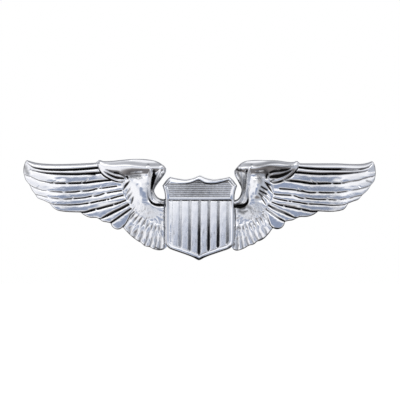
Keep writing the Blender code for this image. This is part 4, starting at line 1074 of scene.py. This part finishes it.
def math_node(t, op, a, b=None):
    m = node(t, "ShaderNodeMath", operation=op)
    for i, v in enumerate((a, b)):
        if v is None:
            continue
        if isinstance(v, (int, float)):
            m.inputs[i].default_value = v
        else:
            t.links.new(v, m.inputs[i])
    return m.outputs[0]


def bump(t, height, strength, distance, normal=None):
    b = node(t, "ShaderNodeBump")
    b.inputs["Strength"].default_value = strength
    b.inputs["Distance"].default_value = distance
    t.links.new(height, b.inputs["Height"])
    if normal is not None:
        t.links.new(normal, b.inputs["Normal"])
    return b.outputs["Normal"]


def polished(name, light, worn, dark, rough=(0.05, 0.14), patina_and_shade=True, scratch=0.10, grain=0.0, streak=0.0):
    """Plated metal: tint drifts a little, fine scratches, dark oxide in the recesses and painted shade, both laid on by
    a vertex attribute.
    """
    m, t, p = new_material(name)
    co = node(t, "ShaderNodeTexCoord").outputs["Object"]
    cloud = noise(t, co, 220, 4.0, 0.6)
    tint = mixed(t, ramp(t, cloud, [(0.35, 0.0), (0.72, 1.0)]), light, worn)
    fine = noise(t, co, 2600, 3.0, 0.6, (1, 1, 1))
    if patina_and_shade:
        # dark oxide and painted shade, from the vertex attribute, darken the tint
        a = node(t, "ShaderNodeAttribute", attribute_name="patina_and_shade").outputs["Fac"]
        broken = math_node(t, "ADD", a, math_node(t, "MULTIPLY", math_node(t, "SUBTRACT", fine, 0.5), 0.30))
        mask = ramp(t, broken, [(0.10, 0.0), (0.55, 0.72), (0.80, 1.0)])
        tint = mixed(t, mask, tint, dark)
        p.inputs["Metallic"].default_value = 1.0
        sat = node(t, "ShaderNodeAttribute", attribute_name="satin").outputs["Fac"]
        rr = ramp(t, cloud, [(0.30, rough[0]), (0.75, rough[1])])
        rr = mixed(t, sat, rr, (0.34, 0.34, 0.34))
        rr = mixed(t, mask, rr, (0.42, 0.42, 0.42))
        t.links.new(rr, p.inputs["Roughness"])
    else:
        p.inputs["Metallic"].default_value = 1.0
        t.links.new(ramp(t, cloud, [(0.30, rough[0]), (0.75, rough[1])]), p.inputs["Roughness"])
    t.links.new(tint, p.inputs["Base Color"])
    hair = noise(t, co, 900, 2.0, 0.5, (0.12, 1.0, 3.2), (0.0, 0.35, 0.0))
    hair2 = noise(t, co, 1000, 2.0, 0.5, (2.6, 1.0, 0.16), (0.0, -0.5, 0.0))
    both = math_node(t, "ADD", hair, hair2)
    n = bump(t, both, scratch, 0.00002)
    if streak:
        s = noise(t, co, 1000, 3.0, 0.6, (5.0, 1.0, 0.16))
        n = bump(t, s, streak, 0.00004, n)
    if grain:
        n = bump(t, noise(t, co, 1500, 4.0, 0.65), grain, 0.00006, n)
    t.links.new(n, p.inputs["Normal"])
    return m


def brushed(name, light, worn, dirt, rough, seams):
    """Stamped brass or drawn wire: soft tool marks, tarnish and small nicks."""
    m, t, p = new_material(name)
    co = node(t, "ShaderNodeTexCoord").outputs["Object"]
    cloud = noise(t, co, 420, 5.0, 0.62)
    spots = noise(t, co, 1700, 3.0, 0.7)
    tint = mixed(t, ramp(t, cloud, [(0.38, 0.0), (0.68, 1.0)]), light, worn)
    tint = mixed(t, ramp(t, spots, [(0.62, 0.0), (0.74, 0.75)]), tint, dirt)
    t.links.new(tint, p.inputs["Base Color"])
    p.inputs["Metallic"].default_value = 1.0
    t.links.new(ramp(t, cloud, [(0.3, rough[0]), (0.7, rough[1])]), p.inputs["Roughness"])
    marks = noise(t, co, 1500, 2.0, 0.5, seams)
    n = bump(t, marks, 0.22, 0.00003)
    n = bump(t, spots, 0.12, 0.00003, n)
    t.links.new(n, p.inputs["Normal"])
    return m


# ------------------------------------------------------------------- turned parts
def soften(profile, radius, steps=3):
    """Rounds the corners of a closed or axis-to-axis profile."""
    p = [np.array(q, float) for q in profile]
    closed = not (profile[0][0] < 1e-9 and profile[-1][0] < 1e-9)
    n = len(p)
    out = []
    for i in range(n):
        if not closed and i in (0, n - 1):
            out.append(p[i]); continue
        a, b, c = p[i - 1], p[i], p[(i + 1) % n]
        u, v = a - b, c - b
        lu, lv = np.linalg.norm(u), np.linalg.norm(v)
        r = min(radius, lu * 0.45, lv * 0.45)
        s, e = b + u / lu * r, b + v / lv * r
        for k in range(steps + 1):
            w = k / steps
            out.append((1 - w) ** 2 * s + 2 * w * (1 - w) * b + w * w * e)
    return [(float(q[0]), float(q[1])) for q in out], closed


def turned(name, profile, segments, radius=0.05, angle=40):
    prof, closed = soften(profile, radius)
    bm = bmesh.new()
    rings = []
    for r, z in prof:
        if r < 1e-6:
            rings.append([bm.verts.new((0, 0, z * MM))])
        else:
            rings.append([bm.verts.new((r * MM * math.cos(2 * math.pi * k / segments),
                                        r * MM * math.sin(2 * math.pi * k / segments), z * MM))
                          for k in range(segments)])
    n = len(rings)
    for i in range(n if closed else n - 1):
        a, b = rings[i], rings[(i + 1) % n]
        for k in range(segments):
            j = (k + 1) % segments
            if len(a) == 1:
                bm.faces.new((a[0], b[k], b[j]))
            elif len(b) == 1:
                bm.faces.new((a[k], b[0], a[j]))
            else:
                bm.faces.new((a[k], b[k], b[j], a[j]))
    bmesh.ops.recalc_face_normals(bm, faces=bm.faces)
    me = bpy.data.meshes.new(name)
    bm.to_mesh(me)
    bm.free()
    me.shade_smooth()
    me.set_sharp_from_angle(angle=math.radians(angle))
    return me


def jaw_mesh(name, path, widths, thick, origin):
    """Bent brass ear: rolled edges, a pressed rib and a cupped finger pad."""
    fine = catmull(path, 0.10)
    cum = np.concatenate([[0], np.cumsum(np.linalg.norm(np.diff(np.array(path), axis=0), axis=1))])
    fc = np.concatenate([[0], np.cumsum(np.linalg.norm(np.diff(fine, axis=0), axis=1))])
    fc *= cum[-1] / fc[-1]
    wd = np.interp(fc, cum, widths)
    # smooth the widths and round the free end off
    kern = np.array([1, 2, 3, 2, 1]) / 9.0
    wd = np.convolve(np.pad(wd, 2, mode="edge"), kern, "valid")
    p = fine - np.array(origin)
    t = np.gradient(p, axis=0)
    t /= np.linalg.norm(t, axis=1)[:, None]
    nrm = np.stack([-t[:, 1], t[:, 0]], 1)
    bm = bmesh.new()
    cross = []
    nw = 12
    for k in range(nw + 1):
        cross.append((-1 + 2 * k / nw, 1))
    for k in range(nw, -1, -1):
        cross.append((-1 + 2 * k / nw, -1))
    rowsv = []
    for i, (q, m_, w) in enumerate(zip(p, nrm, wd)):
        s = fc[i] / fc[-1]
        rib = 0.05 * math.exp(-((s - 0.45) / 0.28) ** 2)
        row = []
        for a, sd in cross:
            edge = max(0.0, abs(a) - 0.88) / 0.12
            th = thick / 2 * math.sqrt(max(0.08, 1 - 0.85 * edge ** 2))
            off = rib * math.exp(-(a * w / 0.35) ** 2)
            c = q + m_ * (sd * th * 0.98 - off * 0.6)
            row.append(bm.verts.new((c[0] * MM, a * w * MM, c[1] * MM)))
        rowsv.append(row)
    n = len(cross)
    for r, s in zip(rowsv, rowsv[1:]):
        for i in range(n):
            j = (i + 1) % n
            bm.faces.new((r[i], r[j], s[j], s[i]))
    bm.faces.new(rowsv[0])
    bm.faces.new(list(reversed(rowsv[-1])))
    bmesh.ops.recalc_face_normals(bm, faces=bm.faces)
    me = bpy.data.meshes.new(name)
    bm.to_mesh(me)
    bm.free()
    me.shade_smooth()
    me.set_sharp_from_angle(angle=math.radians(50))
    return me


def wire_ring(name, radius, r0, height, a0, a1, n=64, m=14):
    """Round wire bent to an open ring, with domed cut ends."""
    bm = bmesh.new()
    rings = []
    ends = [(-0.8, 0.45), (-0.45, 0.85), (0, 1.0)]
    steps = [(a0, e, f) for e, f in ends] + [(a0 + (a1 - a0) * i / n, 0, 1) for i in range(1, n)] \
        + [(a1, -e, f) for e, f in reversed(ends)]
    for a, e, f in steps:
        a = math.radians(a)
        tx, ty = -math.sin(a), math.cos(a)
        cx, cy = radius * math.cos(a) + tx * e * r0, radius * math.sin(a) + ty * e * r0
        rings.append([bm.verts.new(((cx + math.cos(a) * r0 * f * math.cos(b)) * MM,
                                    (cy + math.sin(a) * r0 * f * math.cos(b)) * MM,
                                    (height + r0 * f * math.sin(b)) * MM))
                      for b in [2 * math.pi * k / m for k in range(m)]])
    for r, s in zip(rings, rings[1:]):
        for i in range(m):
            j = (i + 1) % m
            bm.faces.new((r[i], r[j], s[j], s[i]))
    bm.faces.new(rings[0])
    bm.faces.new(list(reversed(rings[-1])))
    bmesh.ops.recalc_face_normals(bm, faces=bm.faces)
    me = bpy.data.meshes.new(name)
    bm.to_mesh(me)
    bm.free()
    me.shade_smooth()
    me.set_sharp_from_angle(angle=math.radians(50))
    return me


PIN_PROFILE = [(0.0, -0.40), (1.50, -0.40), (1.56, -0.34), (1.56, -0.08), (1.50, -0.02), (0.66, -0.02),
               (0.52, 0.06), (0.50, 0.16), (0.50, 3.25), (0.46, 3.34), (0.39, 3.42), (0.39, 3.80), (0.46, 3.88),
               (0.50, 3.95), (0.50, 5.9), (0.40, 6.22), (0.12, 7.10), (0.05, 7.18), (0.0, 7.2)]
PLATE_PROFILE = [(0.72, 0.0), (0.95, -0.0), (1.9, 0.0), (5.10, 0.0), (5.22, 0.08), (5.22, 0.36), (5.14, 0.44),
                 (5.02, 0.43), (2.1, 0.40), (0.95, 0.40), (0.72, 0.40)]
SHELL_PROFILE = [(5.36, 0.02), (5.50, 0.0), (5.66, 0.0), (5.80, 0.10), (5.85, 0.25), (5.85, 0.8), (5.78, 1.0),
                 (5.62, 1.15), (5.35, 1.25), (5.05, 1.3), (4.6, 1.30), (4.45, 1.37), (4.05, 1.37), (3.9, 1.34),
                 (3.62, 1.42), (3.42, 1.56), (3.3, 1.75), (3.24, 2.2), (3.2, 2.75), (3.12, 3.0), (2.95, 3.15),
                 (2.72, 3.2), (2.5, 3.2), (2.46, 3.04), (2.5, 2.88), (2.70, 2.87), (2.78, 2.82), (2.84, 2.7),
                 (2.88, 2.3), (2.92, 1.75), (3.02, 1.35), (3.35, 1.0), (5.0, 0.94), (5.30, 0.86), (5.36, 0.72)]
JAW_PATH = [(0.60, 1.22), (1.15, 1.30), (1.55, 1.52), (1.68, 2.0), (1.60, 2.45), (1.55, 2.90), (1.72, 3.35),
            (2.20, 3.80), (2.72, 4.25), (3.05, 4.75), (3.24, 5.2), (3.32, 5.5), (3.36, 5.68)]
JAW_WIDTH = [0.95, 1.05, 1.1, 1.1, 1.1, 1.15, 1.35, 1.95, 2.35, 2.45, 2.2, 1.65, 0.9]

# ------------------------------------------------------------------- build pieces
silver = polished("wing_silver_look", (0.92, 0.925, 0.935), (0.86, 0.87, 0.885), (0.012, 0.011, 0.011),
                  (0.05, 0.13), True, 0.10)
shield_mat = polished("shield_silver_look", (0.93, 0.94, 0.955), (0.88, 0.89, 0.91), (0.013, 0.013, 0.014),
                      (0.04, 0.10), True, 0.06, 0.0, 0.22)
back_mat = polished("badge_back_look", (0.86, 0.865, 0.87), (0.74, 0.745, 0.75), (0.10, 0.10, 0.10),
                    (0.24, 0.40), False, 0.22, 0.5)
nickel = brushed("post_nickel_look", (0.74, 0.72, 0.68), (0.62, 0.60, 0.56), (0.30, 0.27, 0.22), (0.16, 0.32),
                 (1.0, 1.0, 9.0))
brass = brushed("clutch_brass_look", (0.87, 0.69, 0.37), (0.76, 0.57, 0.27), (0.40, 0.27, 0.11), (0.14, 0.30),
                (3.0, 3.0, 1.0))
steel = brushed("spring_steel_look", (0.60, 0.61, 0.63), (0.47, 0.48, 0.50), (0.22, 0.20, 0.18), (0.20, 0.36),
                (1.0, 1.0, 7.0))

POSTS = [("left", -20.5, 4.1), ("center", 0.0, -4.2), ("right", 20.5, 4.1)]
seats = [(x, z, 1.68, 0.46) for _, x, z in POSTS]
GRID = 0.19
plate = relief_object("wing_plate_fine", plate_outline(), wing_feature_points(), GRID, plate_height, 0.0, seats)
plate.data.materials.append(silver)
for ob in (plate,):
    ob.data.materials.append(back_mat)
    nrm = np.empty(len(ob.data.polygons) * 3, np.float32)
    ob.data.polygons.foreach_get("normal", nrm)
    ob.data.polygons.foreach_set("material_index", (nrm.reshape(-1, 3)[:, 1] > 0.5).astype(np.int32))
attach(plate, "badge")
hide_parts("wing_plate")

shield = relief_object("shield_fine", shield_outline(), shield_feature_points(), 0.20, shield_relief, -1.25)
shield.data.materials.append(shield_mat)
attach(shield, "badge")
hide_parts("shield")


def place(name, mesh, loc, rot, body, nod, mat):
    ob = bpy.data.objects.new(name, mesh)
    bpy.context.scene.collection.objects.link(ob)
    ob.rotation_mode = "XYZ"
    ob.location = [c * MM for c in loc]
    ob.rotation_euler = rot
    if not mesh.materials:
        mesh.materials.append(mat)
    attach(ob, body)
    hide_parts(nod)
    return ob


post_me = turned("post_turned", PIN_PROFILE, 40, 0.03)
plate_me = turned("front_plate_turned", PLATE_PROFILE, 96, 0.04)
shell_me = turned("shell_turned", SHELL_PROFILE, 112, 0.06)
jaw_me = jaw_mesh("jaw_bent", JAW_PATH, JAW_WIDTH, 0.35, (1.55, 2.90))
ring_me = wire_ring("ring_wire", 2.56, 0.19, 2.5, -60, 240)
from mathutils import Matrix
BACKWARD = Matrix.Rotation(-math.pi / 2, 4, "X")
for tag, x, z in POSTS:
    place("post_" + tag + "_fine", post_me, (x, 0, z), (-math.pi / 2, 0, 0), "badge", "post_" + tag, nickel)
    c = "clutch_" + tag
    place(c + "_front_plate_fine", plate_me, (x, 2.3, z), (-math.pi / 2, 0, 0), c + "_slider",
          c + "_front_plate", brass)
    place(c + "_shell_fine", shell_me, (x, 2.3, z), (-math.pi / 2, 0, 0), c + "_turner", c + "_shell", brass)
    place(c + "_spring_fine", ring_me, (x, 2.3, z), (-math.pi / 2, 0, 0), c + "_turner", c + "_spring", steel)
    place(c + "_jaw_a_fine", jaw_me, (x + 1.55, 2.3 + 2.90, z), (-math.pi / 2, 0, 0), c + "_jaw_a_body",
          c + "_jaw_a", brass)
    jb = place(c + "_jaw_b_fine", jaw_me, (x - 1.55, 2.3 + 2.90, z), (0, 0, 0), c + "_jaw_b_body",
               c + "_jaw_b", brass)
    jb.rotation_euler = (BACKWARD @ Matrix.Rotation(math.pi, 4, "Z")).to_euler("XYZ")
bpy.context.view_layer.update()

# ------------------------------------------------------------------------- studio
scene = bpy.context.scene
scene.view_settings.view_transform = "Standard"
scene.view_settings.look = "None"

bm = bmesh.new()
bmesh.ops.create_grid(bm, x_segments=1, y_segments=1, size=1.6)
me = bpy.data.meshes.new("studio_floor")
bm.to_mesh(me)
bm.free()
floor = bpy.data.objects.new("studio_floor", me)
scene.collection.objects.link(floor)
floor.location = (0, 0.3, -0.16)
fm, ft, fp = new_material("floor_paper")
fp.inputs["Base Color"].default_value = (0.93, 0.93, 0.93, 1)
fp.inputs["Roughness"].default_value = 0.9
fco = node(ft, "ShaderNodeTexCoord").outputs["Object"]
ft.links.new(ramp(ft, noise(ft, fco, 60, 3.0), [(0.3, (0.90, 0.90, 0.90)), (0.7, (0.95, 0.95, 0.95))]),
             fp.inputs["Base Color"])
floor.data.materials.append(fm)
fp.inputs["Emission Color"].default_value = (1, 1, 1, 1)
fp.inputs["Emission Strength"].default_value = 0.55
floor.visible_glossy = False

# light tent: what the polished metal mirrors, by direction
world = bpy.data.worlds.new("light_tent")
scene.world = world
world.use_nodes = True
wt = world.node_tree
for n in list(wt.nodes):
    wt.nodes.remove(n)
out = node(wt, "ShaderNodeOutputWorld")
bg_tent = node(wt, "ShaderNodeBackground")
bg_white = node(wt, "ShaderNodeBackground")
bg_white.inputs["Color"].default_value = (1, 1, 1, 1)
bg_white.inputs["Strength"].default_value = 1.0
mixs = node(wt, "ShaderNodeMixShader")
lp = node(wt, "ShaderNodeLightPath")
wt.links.new(lp.outputs["Is Camera Ray"], mixs.inputs["Fac"])
wt.links.new(bg_tent.outputs[0], mixs.inputs[1])
wt.links.new(bg_white.outputs[0], mixs.inputs[2])
wt.links.new(mixs.outputs[0], out.inputs["Surface"])
wco = node(wt, "ShaderNodeTexCoord").outputs["Generated"]
sep = node(wt, "ShaderNodeSeparateXYZ")
wt.links.new(wco, sep.inputs[0])

def fit(v, a, b, out_a=0.0, out_b=1.0):
    """Smooth step of a value from a..b to out_a..out_b."""
    m = node(wt, "ShaderNodeMapRange", interpolation_type="SMOOTHSTEP")
    wt.links.new(v, m.inputs["Value"])
    for i, q in zip(("From Min", "From Max", "To Min", "To Max"), (a, b, out_a, out_b)):
        m.inputs[i].default_value = q
    return m.outputs["Result"]


def rise(deg):
    return 0.5 + 0.5 * math.sin(math.radians(deg))


sx, sy, sz = sep.outputs["X"], sep.outputs["Y"], sep.outputs["Z"]
up = math_node(wt, "MULTIPLY_ADD", sz, 0.5)
up.node.inputs[2].default_value = 0.5
band = ramp(wt, up, [
    (rise(-90), (0.24, 0.23, 0.23)), (rise(-68), (0.16, 0.15, 0.15)), (rise(-54), (0.42, 0.41, 0.41)),
    (rise(-40), (0.74, 0.74, 0.75)), (rise(-18), (0.84, 0.86, 0.89)), (rise(-4), (0.80, 0.83, 0.88)),
    (rise(8), (0.84, 0.86, 0.91)), (rise(16), (1.02, 1.02, 1.02)), (rise(46), (1.02, 1.02, 1.02)),
    (rise(62), (0.58, 0.59, 0.61)), (rise(90), (0.38, 0.39, 0.41))])


def card(base, az, el, inner, outer, colour, amount=1.0):
    """A soft-edged card or reflector in the tent, in a direction (degrees; az to the right)."""
    a, e = math.radians(az), math.radians(el)
    d = node(wt, "ShaderNodeVectorMath", operation="DOT_PRODUCT")
    wt.links.new(wco, d.inputs[0])
    d.inputs[1].default_value = (math.cos(e) * math.sin(a), -math.cos(e) * math.cos(a), math.sin(e))
    m = fit(d.outputs["Value"], math.cos(math.radians(outer)), math.cos(math.radians(inner)), 0.0, amount)
    return mixed(wt, m, base, colour)


col = card(band, -46, -16, 16, 44, (1.06, 1.06, 1.06))
col = card(col, 40, -2, 10, 34, (0.52, 0.55, 0.60))
col = card(col, 34, -50, 12, 36, (0.22, 0.205, 0.20))
col = card(col, -62, 40, 8, 30, (0.50, 0.51, 0.53))
col = card(col, 38, 38, 8, 26, (1.08, 1.08, 1.08))
col = card(col, -2, 17, 4, 14, (1.16, 1.16, 1.16))
# the blue-grey shade straight in front, where the lens looks through the tent
ex = math_node(wt, "POWER", math_node(wt, "DIVIDE", math_node(wt, "ABSOLUTE", math_node(wt, "SUBTRACT", sx, 0.05)), 0.33), 2.0)
ez = math_node(wt, "POWER", math_node(wt, "DIVIDE", math_node(wt, "ABSOLUTE", math_node(wt, "ADD", sz, 0.03)), 0.20), 2.0)
far = math_node(wt, "ADD", ex, ez)
shade = math_node(wt, "MULTIPLY", fit(far, 0.30, 1.35, 1.0, 0.0), fit(sy, -0.4, -0.7))
col = mixed(wt, shade, col, (0.30, 0.355, 0.475))
# the tent's open sides
side = math_node(wt, "ABSOLUTE", sx)
sides = ramp(wt, side, [(0.0, (1, 1, 1)), (0.74, (1.0, 1.0, 1.0)), (0.90, (0.60, 0.59, 0.59)), (1.0, (0.36, 0.35, 0.35))])
col = mixed(wt, 1.0, col, sides, "MULTIPLY")
col = mixed(wt, 1.0, col, (0.975, 0.972, 1.0), "MULTIPLY")
# behind the badge
lin = math_node(wt, "MULTIPLY_ADD", sy, 0.5)
lin.node.inputs[2].default_value = 0.5
back = ramp(wt, lin, [(0.36, (1, 1, 1)), (0.66, (0.36, 0.36, 0.37)), (0.86, (0.46, 0.46, 0.47)), (0.985, (0.98, 0.98, 0.98))])
col = mixed(wt, 1.0, col, back, "MULTIPLY")
wt.links.new(col, bg_tent.inputs["Color"])
bg_tent.inputs["Strength"].default_value = 1.0


def area(name, loc, size, power, target=(0, 0, 0.002), colour=(1, 1, 1)):
    l = bpy.data.lights.new(name, "AREA")
    l.shape = "RECTANGLE"
    l.size, l.size_y = size
    l.energy = power
    l.color = colour
    o = bpy.data.objects.new(name, l)
    scene.collection.objects.link(o)
    o.location = loc
    o.rotation_euler = (Vector(target) - Vector(loc)).to_track_quat("-Z", "Y").to_euler()
    return o


area("key_box", (-0.22, -0.42, 0.42), (0.28, 0.16), 0.16)
area("fill_box", (0.34, -0.38, 0.24), (0.20, 0.16), 0.10)
area("rim_box", (0.0, 0.38, 0.40), (0.40, 0.18), 0.10)

cam = bpy.data.cameras.new("front_camera")
cam.lens = 100
cam.sensor_width = 36
cam.clip_start = 0.01
camera = bpy.data.objects.new("front_camera", cam)
scene.collection.objects.link(camera)
camera.location = (0.00005, -0.2407, 0.002156)
camera.rotation_euler = (math.pi / 2, 0, 0)
scene.camera = camera
